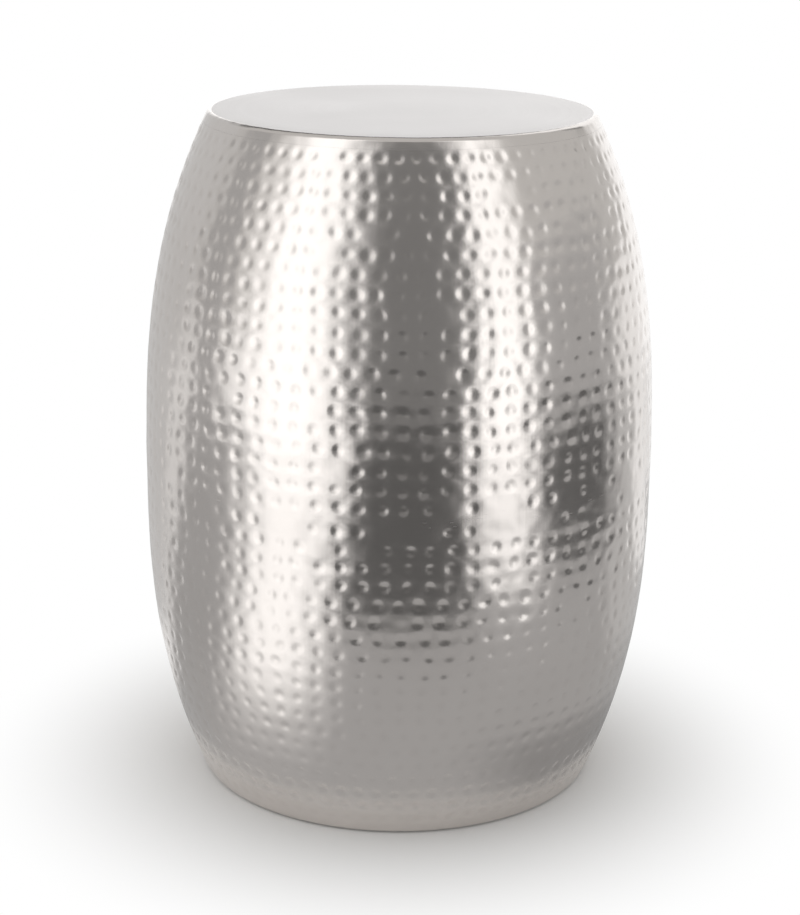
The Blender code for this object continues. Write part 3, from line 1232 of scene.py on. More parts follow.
    def _set_out(self, points: Field, item: Field) -> Field:
        """Copies of an item at each mark, sized and turned to suit.

        Args:
            points: middles of the marks.
            item: geometry of unit radius.

        Returns:
            Plain geometry.
        """
        sheet = self.sheet
        level, reach, drawn = (sheet.named(name) for name in ("level", "mark_reach", "mark_stretch"))
        radius, _, levelling = self._flank(level)
        spread = self._spread(level)
        tall = reach / drawn * levelling * spread * self.SHEET_SCALE
        size = sheet.vector(tall, reach * drawn * spread / radius, 1.0)
        return sheet.copied(points, item, Rotation=sheet.spun(sheet.named("around")), Scale=size)

    def _join(self, items: list[Field]) -> Field:
        """Several geometries as one."""
        return self.sheet.made("GeometryNodeJoinGeometry", "Geometry", {"Geometry": items})

    def _stray(self, spot: Field, shift: float) -> Field:
        """How far the marks stray at a spot.

        Args:
            spot: place on the flank.
            shift: shift of the noise, by which two directions differ.

        Returns:
            Distance to either side.
        """
        sheet, get = self.sheet, self.inputs
        scale = 1.0 / get["Wander Pitch"]
        x, y, z = (part * scale for part in sheet.parts(spot))
        aside, upward = (shift * step for step in self.STRAY_STEPS)
        return (sheet.noise(sheet.vector(x + aside, y, z + upward), 1.0, 1.0) - 0.5) * get["Wander"]

    def _rolled(self, flat: Field) -> Field:
        """Rolls the flat sheet into the flank and sinks the marks.

        Args:
            flat: mesh on the flat sheet.

        Returns:
            Mesh on the flank, facing the axis.
        """
        sheet, get = self.sheet, self.inputs
        across, along, _ = sheet.parts(sheet.made("GeometryNodeInputPosition", "Position"))
        spread = (across * across + along * along).power(0.5)
        middle = (get["Low Edge"] + get["High Edge"]) * 0.5
        level = spread.apply("LOGARITHM", math.e) / self.SHEET_SCALE + middle
        ahead, aside = across / spread, along / spread
        above, below = level - get["Low Edge"], get["High Edge"] - level
        edge = above.eased(0.0, self.EDGE_FADE) * below.eased(0.0, self.EDGE_FADE)
        radius, _, _ = self._flank(level)
        spot = sheet.vector(ahead * radius, aside * radius, level)
        waves = sheet.noise(spot, self.WAVE_SCALE, 1.0) * get["Waviness"] * edge
        rise, sway = self._stray(spot, 0.0) * edge, self._stray(spot, 1.0) * edge / radius
        level = level + rise
        ahead, aside = ahead - aside * sway, aside + ahead * sway
        radius, slope, levelling = self._flank(level)
        from_seam = (level - get["Seam Height"]).apply("ABSOLUTE")
        quiet = from_seam.eased(get["Seam Quiet"], get["Seam Quiet"] + self.QUIET_FADE)
        sink = sheet.named("mark_shape") * sheet.named("mark_depth") * quiet + waves + get["Sheet"]
        inner = radius - sink * levelling
        spot = sheet.vector(ahead * inner, aside * inner, level + sink * slope * levelling)
        return sheet.moved(flat, spot)

    def _wire(self) -> None:
        """Wires the tree from the rows to the finished skin."""
        sheet, get = self.sheet, self.inputs
        rows = self._rows()
        points = self._centres(rows)
        bowls = self._set_out(points, self._bowl())
        holes = self._set_out(points, self._circle(get["Mark Sides"]))
        borders = [self._borders(rows, name) for name in ("band_low", "band_high")]
        band = (sheet.named("row") + 0.5).apply("FLOOR")
        feeds = {"Curve": self._join([holes, *borders]), "Group ID": band}
        land = sheet.real(sheet.made("GeometryNodeFillCurve", "Mesh", feeds, mode="TRIANGLES"))
        whole = self._welded(self._join([land, bowls]), self.LAND_WELD)
        skin = self._rolled(sheet.stored(whole, "hammer_depth", sheet.named("mark_shape")))
        turned_out = sheet.made("GeometryNodeFlipFaces", "Mesh", {"Mesh": skin})
        feeds = {"Switch": get["Outside"], "False": skin, "True": turned_out}
        skin = sheet.made("GeometryNodeSwitch", "Output", feeds, input_type="GEOMETRY")
        skin = sheet.made("GeometryNodeSetShadeSmooth", "Geometry", {"Geometry": skin})
        sheet.finished(skin, get["Finish"])

    def grown(self, guide: Mesh, values: dict[str, Any]) -> Mesh:
        """Runs the tree on a guide.

        Args:
            guide: points that give the rows.
            values: value for each named input that differs from its default.

        Returns:
            Plain mesh of the skin.
        """
        mesh = baked(guide, self.tree, values)
        for name in self.SCRATCH:
            if name in mesh.attributes:
                mesh.attributes.remove(mesh.attributes[name])
        return mesh


@dataclass
class HalfShell:
    """One spun and hammered half of the drum.

    Attributes:
        outline: outline of the drum.
        skin: tree that makes the hammered faces.
        half: which half this is.
        seam_height: height of the seam.
        sheet: thickness of the metal.
        weld_width: width of the weld at the seam.
        skirt_depth: depth of the top's skirt.
        skirt_step: step of the neck under the skirt.
        edge_radius: rounding of the top's edge.
        ledge_width: width of the ledge that carries the top.
        hem_lift: height of the rolled edge above the floor.
        wire_radius: radius of the wire in the rolled edge.
        hem_wrap: angle that the edge is rolled through.
        band_half: half the width of the band behind the seam.
        neck_end: depth below the top at which the inner skin ends.
        neck_turn: place of the neck's inner foot, in and down, in thicknesses of the sheet.
        hem_ends: heights at which the outer and the inner skin end above the roll.
        hem_steps: spans round the roll.
        hem_rounds: rounds in which the start of the roll is found.
        bend_steps: spans round the bend of the neck.
        run_steps: spans from the edge of a skin to the roll.
        outer_sides: sides of a mark outside.
        outer_rings: rings of faces in a mark outside.
        inner_sides: sides of a mark inside.
        inner_rings: rings of faces in a mark inside.
        lower_seed: what the lower half adds to the seed.
    """

    outline: BarrelOutline
    skin: HammeredSkin
    half: Half
    seam_height: float
    sheet: float = 0.0010
    weld_width: float = 0.0020
    skirt_depth: float = 0.0065
    skirt_step: float = 0.0015
    edge_radius: float = 0.0045
    ledge_width: float = 0.0160
    hem_lift: float = 0.0010
    wire_radius: float = 0.0020
    hem_wrap: float = math.radians(270)
    band_half: float = 0.0120
    neck_end: float = 0.0100
    neck_turn: Point2 = (0.45, 1.35)
    hem_ends: Point2 = (0.0066, 0.0096)
    hem_steps: int = 20
    hem_rounds: int = 8
    bend_steps: int = 8
    run_steps: int = 3
    outer_sides: int = 12
    outer_rings: int = 3
    inner_sides: int = 8
    inner_rings: int = 2
    lower_seed: int = 100

    @property
    def shoulder(self) -> float:
        """Height at which the flank meets the skirt of the top."""
        return self.outline.height - self.skirt_depth - FIT_GAP

    @property
    def hem_radius(self) -> float:
        """Outer radius of the rolled edge."""
        return self.wire_radius + FIT_GAP + self.sheet

    def hem_start(self) -> float:
        """Height at which the flank runs into the roll.

        Returns:
            Height that leaves the roll its lift above the floor.
        """
        height = self.hem_lift + self.hem_radius
        for _ in range(self.hem_rounds):
            lean = math.atan(self.outline.slope(height))
            height = self.hem_lift + self.hem_radius * (1 - math.sin(lean))
        return height

    def hem_centre(self) -> Point2:
        """Middle of the rolled edge, as radius and height."""
        return self.outline.point(self.hem_start(), self.hem_radius)

    def _upper_fold(self, outer_edge: float, inner_edge: float) -> list[Point2]:
        """Section from the flank over the neck and ledge to the inner face.

        Args:
            outer_edge: height at which the outer skin ends.
            inner_edge: height at which the inner skin ends.

        Returns:
            Points as radius and height.
        """
        flare = self.outline.radius(self.outline.height - self.skirt_depth) - self.outline.rim_radius
        fall = math.atan2(self.skirt_depth, flare)
        flat = self.outline.rim_radius - self.edge_radius * math.tan(fall / 2)
        level = self.outline.height - self.skirt_step
        centre = (flat, self.outline.height - self.edge_radius)
        start = self.outline.point(outer_edge)
        foot = (start[0] - self.skirt_step * math.sin(fall), start[1] - self.skirt_step * math.cos(fall))
        bend = self.edge_radius - self.skirt_step
        outside = [start, foot] + arc(centre, bend, math.pi / 2 - fall, fall, self.bend_steps)
        outside += [(flat - self.ledge_width, level)]
        inside = [(flat - self.ledge_width, level - self.sheet)]
        inside += arc(centre, bend - self.sheet, math.pi / 2, -fall, self.bend_steps)
        inward, down = self.neck_turn
        inner_foot = (foot[0] - self.sheet * inward, foot[1] - self.sheet * down)
        return outside + inside + [inner_foot, self.outline.point(inner_edge, self.sheet)]

    def _lower_fold(self, outer_edge: float, inner_edge: float) -> list[Point2]:
        """Section from the flank round the rolled edge to the inner face.

        Args:
            outer_edge: height at which the outer skin ends.
            inner_edge: height at which the inner skin ends.

        Returns:
            Points as radius and height.
        """
        start = self.hem_start()
        lean = -math.atan(self.outline.slope(start))
        outside = self.outline.path(outer_edge, start, self.run_steps)
        outside += arc(self.hem_centre(), self.hem_radius, lean, -self.hem_wrap, self.hem_steps)[1:]
        inner_radius = self.hem_radius - self.sheet
        inside = arc(self.hem_centre(), inner_radius, lean - self.hem_wrap, self.hem_wrap, self.hem_steps)
        return outside + inside + self.outline.path(start, inner_edge, self.run_steps, self.sheet)[1:]

    def _skin(self, side: Side, edges: Point2, rows: Point2, finish: Material) -> Mesh:
        """One hammered face of the shell.

        Args:
            side: face of the sheet.
            edges: heights of its lower and its upper edge.
            rows: lengths of its lowest and its highest row of marks along the flank.
            finish: material of the face.

        Returns:
            Mesh of the face.
        """
        outside = side is Side.OUTSIDE
        values = {
            "Low Edge": edges[0],
            "High Edge": edges[1],
            "Seam Height": self.seam_height,
            "Seam Quiet": -1.0 if outside else self.band_half,
            "Sheet": 0.0 if outside else self.sheet,
            "Mark Sides": self.outer_sides if outside else self.inner_sides,
            "Mark Rings": self.outer_rings if outside else self.inner_rings,
            "Seed": self.skin.marks.seed + (self.lower_seed if self.half is Half.LOWER else 0),
            "Outside": outside,
            "Finish": finish,
        }
        return self.skin.grown(self.skin.marks.guide(self.outline, rows, edges), values)

    def build(self, finish: Material, inner_finish: Material) -> None:
        """Makes the shell and puts it in place.

        Args:
            finish: material of the outside.
            inner_finish: material of the inside.
        """
        marks, outline, half_weld = self.skin.marks, self.outline, self.weld_width / 2
        seam = outline.arc_at(self.seam_height)
        if self.half is Half.UPPER:
            edge, ends = self.seam_height + half_weld, (self.shoulder, outline.height - self.neck_end)
            fold = self._upper_fold(*ends)
            rows = (seam + marks.seam_margin, outline.arc_at(self.shoulder) - marks.rim_margin)
        else:
            edge, ends = self.seam_height - half_weld, self.hem_ends
            fold = self._lower_fold(*ends)
            rows = (outline.arc_at(marks.base_margin), seam - marks.seam_margin)
        spans = [(min(edge, end), max(edge, end)) for end in ends]
        skins = [
            self._skin(Side.OUTSIDE, spans[0], rows, finish),
            self._skin(Side.INSIDE, spans[1], rows, inner_finish),
        ]
        lip = turned("lip", [outline.point(edge, self.sheet), outline.point(edge)], closed=False)
        folded = turned("fold", fold, closed=False)
        for strip in (lip, folded):
            strip.materials.append(finish)
            if self.half is Half.UPPER:
                strip.flip_normals()
        mesh = joined(f"hammered_{self.half.value}", [*skins, lip, folded])
        place_piece(f"hammered_{self.half.value}", mesh, "hammered_shell", [self.half.value])


@dataclass
class TopPlate:
    """Pressed top: a satin flat, and a polished rounded edge that runs into a short skirt.

    Attributes:
        outline: outline of the drum.
        sheet: thickness of the metal.
        edge_radius: rounding of the edge.
        skirt_depth: depth of the skirt.
        shadow_gap: fine gap between the skirt and the shell.
        flat_steps: rings of faces on the flat.
        edge_steps: spans round the edge.
        flat_band: depth below the top at which the satin finish ends.
    """

    outline: BarrelOutline
    sheet: float = 0.0012
    edge_radius: float = 0.0045
    skirt_depth: float = 0.0065
    shadow_gap: float = 0.00004
    flat_steps: int = 10
    edge_steps: int = 14
    flat_band: float = 0.00001

    def _section(self) -> list[Point2]:
        """Section from the middle of the upper face round the skirt to the middle of the lower face.

        Returns:
            Points as radius and height.
        """
        height = self.outline.height
        skirt_end = height - self.skirt_depth
        flare = self.outline.radius(skirt_end) - self.outline.rim_radius
        fall = math.atan2(self.skirt_depth, flare)
        flat = self.outline.rim_radius - self.edge_radius * math.tan(fall / 2)
        centre = (flat, height - self.edge_radius)
        outside = [(flat * step / self.flat_steps, height) for step in range(self.flat_steps)]
        outside += arc(centre, self.edge_radius, math.pi / 2, -fall, self.edge_steps)
        end = self.outline.point(skirt_end - FIT_GAP + self.shadow_gap)
        inside = [(end[0] - self.sheet * math.sin(fall), end[1] - self.sheet * math.cos(fall))]
        inside += arc(centre, self.edge_radius - self.sheet, math.pi / 2 - fall, fall, self.edge_steps)
        return outside + [end] + inside + [(0.0, height - self.sheet)]

    def build(self, flat: Material, edge: Material, inside: Material) -> None:
        """Makes the top and puts it in place.

        Args:
            flat: material of the flat.
            edge: material of the rounded edge and the skirt.
            inside: material of the hidden face.
        """
        mesh = turned("satin_top", self._section())
        for finish in (flat, edge, inside):
            mesh.materials.append(finish)
        for face in mesh.polygons:
            on_edge = face.center.z < self.outline.height - self.flat_band
            face.material_index = 2 if face.normal.z <= 0 else int(on_edge)
        place_piece("satin_top", mesh, "satin_top", ["top_plate"])


@dataclass
class SeamJoint:
    """Weld between the halves, ground flush, and the band behind it.

    Attributes:
        outline: outline of the drum.
        seam_height: height of the seam.
        weld_width: width of the weld.
        sheet: thickness of the shells.
        band_sheet: thickness of the band.
        band_width: width of the band.
        grinding: depth of the uneven grinding.
        grinding_scale: fineness of the grinding.
        band_soft: rounding of the band's edges.
        face_steps: spans over the face of the weld.
        back_steps: spans over a hidden face.
    """

    outline: BarrelOutline
    seam_height: float
    weld_width: float = 0.0020
    sheet: float = 0.0010
    band_sheet: float = 0.0015
    band_width: float = 0.0240
    grinding: float = 0.000003
    grinding_scale: float = 160.0
    band_soft: float = 0.0004
    face_steps: int = 6
    back_steps: int = 2

    def build_weld(self, finish: Material) -> None:
        """Makes the weld and puts it in place.

        Args:
            finish: material of the weld.
        """
        half = self.weld_width / 2
        high, low = self.seam_height + half, self.seam_height - half
        section = self.outline.path(high, low, self.face_steps)
        section += self.outline.path(low, high, self.back_steps, self.sheet)
        mesh = turned("dressed_seam_weld", section, sides=2 * ROUND_SIDES)
        for vertex in mesh.vertices:
            middle = 1 - abs(vertex.co.z - self.seam_height) / half
            uneven = 0.5 + 0.5 * noise.noise(vertex.co * self.grinding_scale)
            ground = self.grinding * max(middle, 0.0) * uneven
            reach = math.hypot(vertex.co.x, vertex.co.y)
            vertex.co.x -= vertex.co.x / reach * ground
            vertex.co.y -= vertex.co.y / reach * ground
        mesh.materials.append(finish)
        place_piece("dressed_seam_weld", mesh, "dressed_weld", ["seam_weld"])

    def build_band(self, finish: Material) -> None:
        """Makes the band and puts it in place.

        Args:
            finish: material of the band.
        """
        high, low = self.seam_height + self.band_width / 2, self.seam_height - self.band_width / 2
        depth = self.sheet + FIT_GAP
        section = self.outline.path(high, low, self.back_steps, depth)
        section += self.outline.path(low, high, self.back_steps, depth + self.band_sheet)
        mesh = turned("seam_backing_band", softened(section, self.band_soft))
        mesh.materials.append(finish)
        place_piece("seam_backing_band", mesh, "inner_steel", ["seam_band"])


@dataclass
class BaseFrame:
    """Wire in the rolled edge, and the pierced ring that carries the feet.

    Attributes:
        shell: lower shell, which gives the rolled edge.
        foot_circle: radius at which the feet stand.
        hole_radius: radius of the holes.
        edge_soft: rounding of the ring's edges.
        rim_angle: angle between faces from which an edge is rounded.
        hole_sides: sides of a hole.
        wire_sides: sides of the wire's section.
    """

    shell: HalfShell
    foot_circle: float
    hole_radius: float = 0.0023
    edge_soft: float = 0.0003
    rim_angle: float = 1.0
    hole_sides: int = 32
    wire_sides: int = 20

    def build_wire(self, finish: Material) -> None:
        """Makes the wire and puts it in place.

        Args:
            finish: material of the wire.
        """
        section = arc(self.shell.hem_centre(), self.shell.wire_radius, 0, -FULL_TURN, self.wire_sides)[:-1]
        mesh = turned("rolled_edge_wire", section)
        mesh.materials.append(finish)
        place_piece("rolled_edge_wire", mesh, "inner_steel", ["hem_wire"])

    @staticmethod
    def _circle(shape: BMesh, centre: Point2, radius: float, sides: int) -> list[BMEdge]:
        """Edges of a level circle.

        Args:
            shape: shape that gets the edges.
            centre: middle of the circle.
            radius: radius of the circle.
            sides: number of edges.

        Returns:
            The edges.
        """
        spots = ring_spots(radius, 0.0, sides)
        verts = [shape.verts.new((centre[0] + x, centre[1] + y, z)) for x, y, z in spots]
        return [shape.edges.new(pair) for pair in zip(verts, verts[1:] + verts[:1])]

    def build_ring(self, finish: Material, foot_angles: Sequence[float]) -> None:
        """Makes the ring and puts it in place.

        Args:
            finish: material of the ring.
            foot_angles: directions of the feet.
        """
        low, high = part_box("base_ring")
        shape = bmesh.new()
        edges = []
        for radius in (high.x, self._inner_radius()):
            edges += self._circle(shape, (0, 0), radius, ROUND_SIDES)
        for angle in foot_angles:
            centre = (self.foot_circle * math.cos(angle), self.foot_circle * math.sin(angle))
            edges += self._circle(shape, centre, self.hole_radius, self.hole_sides)
        bmesh.ops.triangle_fill(shape, use_beauty=True, edges=edges, normal=(0, 0, 1))
        grown = bmesh.ops.extrude_face_region(shape, geom=shape.faces[:])
        lifted = [item for item in grown["geom"] if isinstance(item, BMVert)]
        bmesh.ops.translate(shape, verts=lifted, vec=(0, 0, high.z - low.z))
        bmesh.ops.translate(shape, verts=shape.verts[:], vec=(0, 0, low.z))
        bmesh.ops.recalc_face_normals(shape, faces=shape.faces[:])
        rims = [e for e in shape.edges if len(e.link_faces) == 2 and e.calc_face_angle(0) > self.rim_angle]
        bmesh.ops.bevel(shape, geom=rims, offset=self.edge_soft, segments=2, affect="EDGES", profile=0.5)
        mesh = mesh_from("foot_ring", shape)
        mesh.materials.append(finish)
        place_piece("foot_ring", mesh, "inner_steel", ["base_ring"])

    @staticmethod
    def _inner_radius() -> float:
        """Radius of the ring's opening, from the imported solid."""
        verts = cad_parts["base_ring"].data.vertices
        return min(math.hypot(v.co.x, v.co.y) for v in verts)


@dataclass
class Feet:
    """Rubber feet round the base, each with its washer, screw and nut.

    Attributes:
        circle: radius at which the feet stand.
        first_angle: direction of the first foot.
        count: number of feet.
        pad_radius: radius of a pad at its top.
        pad_taper: how much smaller it is on the floor.
        pad_web: rubber between the recess and the ring.
        pad_soft: rounding of its edges.
        recess_radius: radius of the recess for the screw head.
        grooves: radii of the grip grooves.
        groove_halves: half widths of a groove at its mouth and its bed.
        groove_depth: depth of a groove.
        hole_radius: radius of the screw holes.
        washer_radius: radius of a washer.
        washer_soft: rounding of its edges.
        head_radius: radius of a screw head.
        head_height: height of a screw head.
        crown: width and height of the rounding of a screw head.
        edge_break: broken edge of a screw head and its socket.
        socket_radius: half the width of the socket over its flats.
        socket_depth: depth of the socket.
        thread_radius: radius of the thread's crest.
        thread_root: radius of the thread's root.
        thread_pitch: rise of the thread in one turn.
        nut_flats: width of a nut over its flats.
        nut_face: radius of its flat face, in half widths.
        nut_cut: height of its rounded-off corners and of the lead of its bore.
        nut_lead: how much wider the bore starts.
        sides: facets round each part.
    """

    circle: float
    first_angle: float = math.radians(45)
    count: int = 4
    pad_radius: float = 0.0110
    pad_taper: float = 0.0010
    pad_web: float = 0.0030
    pad_soft: float = 0.0006
    recess_radius: float = 0.0058
    grooves: Point2 = (0.0087, 0.0073)
    groove_halves: Point2 = (0.0004, 0.00025)
    groove_depth: float = 0.0005
    hole_radius: float = 0.0023
    washer_radius: float = 0.0055
    washer_soft: float = 0.00018
    head_radius: float = 0.0040
    head_height: float = 0.0022
    crown: Point2 = (0.0006, 0.0008)
    edge_break: float = 0.0001
    socket_radius: float = 0.00125
    socket_depth: float = 0.0013
    thread_radius: float = 0.0020
    thread_root: float = 0.0016
    thread_pitch: float = 0.0007
    nut_flats: float = 0.0070
    nut_face: float = 0.97
    nut_cut: float = 0.0004
    nut_lead: float = 0.0002
    sides: int = 48

    def angles(self) -> list[float]:
        """Directions of the feet from the axis."""
        return [self.first_angle + FULL_TURN * foot / self.count for foot in range(self.count)]

    def _tree(self) -> NodeTree:
        """Node tree that sets copies of one part round the base.

        Returns:
            Geometry tree.
        """
        tree = bpy.data.node_groups.new("round_the_base", "GeometryNodeTree")
        sheet = NodeSheet(tree)
        inputs = {
            "Part": Socket.GEOMETRY,
            "Circle": self.circle,
            "First Angle": self.first_angle,
            "Count": self.count,
            "Finish": Socket.MATERIAL,
        }
        get = sheet.declare(inputs, "Parts")
        points = sheet.made("GeometryNodePoints", "Points", {"Count": get["Count"]})
        index = sheet.made("GeometryNodeInputIndex", "Index")
        angle = get["First Angle"] + index * FULL_TURN / get["Count"]
        points = sheet.moved(points, sheet.polar(get["Circle"], angle))
        sheet.finished(sheet.copied(points, get["Part"], Rotation=sheet.spun(angle)), get["Finish"])
        return tree

    def _pad(self) -> Mesh:
        """Tapered pad with grip grooves, a recess for the screw head and a screw hole.

        Returns:
            Mesh about its own axis.
        """
        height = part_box("foot_pad_1")[1].z
        path = [(self.pad_radius, height), (self.pad_radius - self.pad_taper, 0.0)]
        mouth, bed = self.groove_halves
        for middle in self.grooves:
            path += [(middle + mouth, 0.0), (middle + bed, self.groove_depth)]
            path += [(middle - bed, self.groove_depth), (middle - mouth, 0.0)]
        path += [(self.recess_radius, 0.0), (self.recess_radius, height - self.pad_web)]
        path += [(self.hole_radius, height - self.pad_web), (self.hole_radius, height)]
        return turned("foot_pad", softened(path, self.pad_soft), self.sides)

    def _washer(self) -> Mesh:
        """Flat washer with softened edges.

        Returns:
            Mesh about its own axis.
        """
        low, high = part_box("foot_washer_1")
        path = [(self.washer_radius, high.z), (self.washer_radius, low.z)]
        path += [(self.hole_radius, low.z), (self.hole_radius, high.z)]
        return turned("foot_washer", softened(path, self.washer_soft), self.sides)

    def _ring(
        self, radius: float, height: float, form: Form = Form.ROUND, limit: float = math.inf
    ) -> list[Point3]:
        """Points of one ring of a fastener.

        Args:
            radius: its radius, or half its width over the flats.
            height: its height, or the middle of a turn of thread.
            form: its outline.
            limit: radius at which its corners are cut off.

        Returns:
            Points round the axis.
        """
        spots = []
        for side in range(self.sides):
            angle, lift = FULL_TURN * side / self.sides, 0.0
            reach = radius
            if form is Form.HEXAGON:
                reach = radius / math.cos(angle % (math.pi / 3) - math.pi / 6)
            if form is Form.THREAD:
                lift = self.thread_pitch * side / self.sides - self.thread_pitch / 2
            reach = min(reach, limit)
            spots.append((reach * math.cos(angle), reach * math.sin(angle), height + lift))
        return spots

    def _screw(self) -> Mesh:
        """Screw with a hexagon socket and a cut thread.

        Returns:
            Mesh about its own axis.
        """
        low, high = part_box("foot_screw_1")
        start, floor, soft = low.z + self.head_height, low.z + self.socket_depth, self.edge_break
        turns = (high.z - start) / self.thread_pitch
        crown_width, crown_height = self.crown
        rows = [
            (self.socket_radius, floor, Form.HEXAGON),
            (self.socket_radius, low.z + soft, Form.HEXAGON),
            (self.socket_radius + soft, low.z, Form.HEXAGON),
            (self.head_radius - crown_width, low.z, Form.ROUND),
            (self.head_radius - soft, low.z + crown_height / 2, Form.ROUND),
            (self.head_radius, low.z + crown_height, Form.ROUND),
            (self.head_radius, start - soft, Form.ROUND),
            (self.head_radius - soft, start, Form.ROUND),
            (self.thread_root, start, Form.ROUND),
        ]
        for step in range(1, int(turns * 2)):
            radius = self.thread_radius if step % 2 else self.thread_root
            rows.append((radius, start + step * self.thread_pitch / 2, Form.THREAD))
        rows.append((self.thread_root, high.z, Form.ROUND))
        shape = bmesh.new()
        rings = [[shape.verts.new((0.0, 0.0, floor))] * self.sides]
        for row in rows:
            spots = [(x, y, min(max(z, low.z), high.z)) for x, y, z in self._ring(*row)]
            rings.append([shape.verts.new(spot) for spot in spots])
        rings.append([shape.verts.new((0.0, 0.0, high.z))] * self.sides)
        bridged(shape, rings, closed=False)
        return mesh_from("foot_screw", shape)

    def _nut(self) -> Mesh:
        """Hexagon nut with rounded-off corners top and bottom.

        Returns:
            Mesh about its own axis.
        """
        low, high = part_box("foot_nut_1")
        flats, cut = self.nut_flats / 2, self.nut_cut
        face, corner = flats * self.nut_face, flats / math.cos(math.pi / 6)
        levels = ((face, high.z), (corner, high.z - cut), (corner, low.z + cut), (face, low.z))
        rings = [self._ring(flats, height, Form.HEXAGON, limit) for limit, height in levels]
        mouth, bore = self.hole_radius + self.nut_lead, self.hole_radius
        levels = ((mouth, low.z), (bore, low.z + cut), (bore, high.z - cut), (mouth, high.z))
        rings += [self._ring(*level) for level in levels]
        shape = bmesh.new()
        bridged(shape, [[shape.verts.new(spot) for spot in ring] for ring in rings], closed=True)
        return mesh_from("foot_nut", shape)

    def build(self, rubber: Material, zinc: Material) -> None:
        """Makes the feet and their fasteners and puts them in place.

        Args:
            rubber: material of the pads.
            zinc: material of the fasteners.
        """
        tree = self._tree()
        kinds = (
            ("rubber_feet", self._pad(), rubber, "foot_rubber", "foot_pad"),
            ("foot_washers", self._washer(), zinc, "zinc_fastener", "foot_washer"),
            ("foot_screws", self._screw(), zinc, "zinc_fastener", "foot_screw"),
            ("foot_nuts", self._nut(), zinc, "zinc_fastener", "foot_nut"),
        )
        for name, part, finish, slot, stem in kinds:
            mesh = baked(part, tree, {"Finish": finish})
            drop_empty_slots(mesh)
            place_piece(name, mesh, slot, [f"{stem}_{number}" for number in range(1, self.count + 1)])


@dataclass(frozen=True)
class Card:
    """Soft-edged card by the table that shows in the metal and not in the picture.

    Attributes:
        name: name of the card.
        radiance: brightness of its face.
        bearing: direction from the table in degrees, from the front towards the right.
        half: half its width, as an angle in degrees seen from the table.
        soft: width of its soft sides, as an angle in degrees.
    """

    name: str
    radiance: float
    bearing: float
    half: float
    soft: float

    def _corners(self) -> list[Point3]:
        """Corners of the card, drawn in front of the table and then turned to its bearing."""
        raise NotImplementedError

    def _ends(self, sheet: NodeSheet, spot: Field) -> Field:
        """How far the card covers a spot between its soft ends."""
        raise NotImplementedError

    def _material(self) -> Material:
        """Glow that thins out to nothing at the edges of the card.

        Returns:
            Material in the card's own coordinates.
        """
        made, sheet = new_material(self.name, bare=True)
        spot = sheet.made("ShaderNodeTexCoord", "Object")
        across, along, _ = sheet.parts(spot)
        turn = sheet.math("ARCTAN2", across, along * -1.0).apply("ABSOLUTE")
        sides = 1.0 - turn.eased(math.radians(self.half - self.soft), math.radians(self.half))
        clear = sheet.node("ShaderNodeBsdfTransparent", {})
        share = sides * self._ends(sheet, spot)
        sheet.shown(sheet.blended(share, clear, sheet.glow(WHITE, self.radiance)))
        return made

    def build(self) -> None:
        """Puts the card in the scene."""
        corners = self._corners()
        mesh = bpy.data.meshes.new(self.name)
        mesh.from_pydata(corners, [], [tuple(range(len(corners)))])
        place_prop(self.name, mesh, self._material(), True, math.radians(self.bearing))


@dataclass(frozen=True)
class StandingCard(Card):
    """Tall card that faces the table.

    Attributes:
        distance: distance from the axis of the table.
        high: height of its upper edge.
        low: height of its lower edge, as a rule out of sight below the floor.
        soft_end: height of its soft ends.
    """

    distance: float
    high: float = 2.6
    low: float = -0.45
    soft_end: float = 0.45

    def _corners(self) -> list[Point3]:
        """Four corners of an upright card.

        Returns:
            Points in front of the table.
        """
        reach = self.distance * math.tan(math.radians(self.half))
        sides = ((-reach, self.low), (reach, self.low), (reach, self.high), (-reach, self.high))
        return [(across, -self.distance, height) for across, height in sides]

    def _ends(self, sheet: NodeSheet, spot: Field) -> Field:
        """Soft lower and upper edge."""
        return sheet.parts(spot)[2].between(self.low, self.high, self.soft_end, self.soft_end)


@dataclass(frozen=True)
class FloorCard(Card):
    """Fan-shaped card on the floor, which widens away from the table.

    Attributes:
        near: distance of its near end from the axis of the table.
        far: distance of its far end from the axis of the table.
        soft_near: length of its soft near end.
        soft_far: length of its soft far end.
        lift: height above the floor, by which cards lie over one another.
        steps: spans of its round ends.
    """

    near: float
    far: float
    soft_near: float
    soft_far: float
    lift: float
    steps: int = 24

    def _corners(self) -> list[Point3]:
        """Points along the near end and back along the far end.

        Returns:
            Points in front of the table.
        """
        turns = [math.radians(self.half) * (2 * step / self.steps - 1) for step in range(self.steps + 1)]
        path = [(self.near, turn) for turn in turns] + [(self.far, turn) for turn in reversed(turns)]
        return [(math.sin(turn) * away, -math.cos(turn) * away, self.lift) for away, turn in path]

    def _ends(self, sheet: NodeSheet, spot: Field) -> Field:
        """Soft near and far end."""
        return sheet.away(spot).between(self.near, self.far, self.soft_near, self.soft_far)


@dataclass(frozen=True)
class Lamp:
    """Large soft lamp that shines on the table from outside the picture.

    Attributes:
        name: name of the lamp.
        place: its middle.
        aim: the point that it faces.
        side: length of its sides.
        radiance: brightness of its face.
    """

    name: str
    place: Point3
    aim: Point3
    side: float
    radiance: float

    def build(self) -> None:
        """Puts the lamp in the scene."""
        data = bpy.data.lights.new(self.name, "AREA")
        data.shape = "SQUARE"
        data.size = self.side
        data.energy = self.radiance * math.pi * self.side**2
        lamp = bpy.data.objects.new(self.name, data)
        bpy.context.scene.collection.objects.link(lamp)
        lamp.location = self.place
        lamp.rotation_euler = (Vector(self.aim) - Vector(self.place)).to_track_quat("-Z", "Y").to_euler()
        lamp.visible_camera = False
        lamp.visible_glossy = False


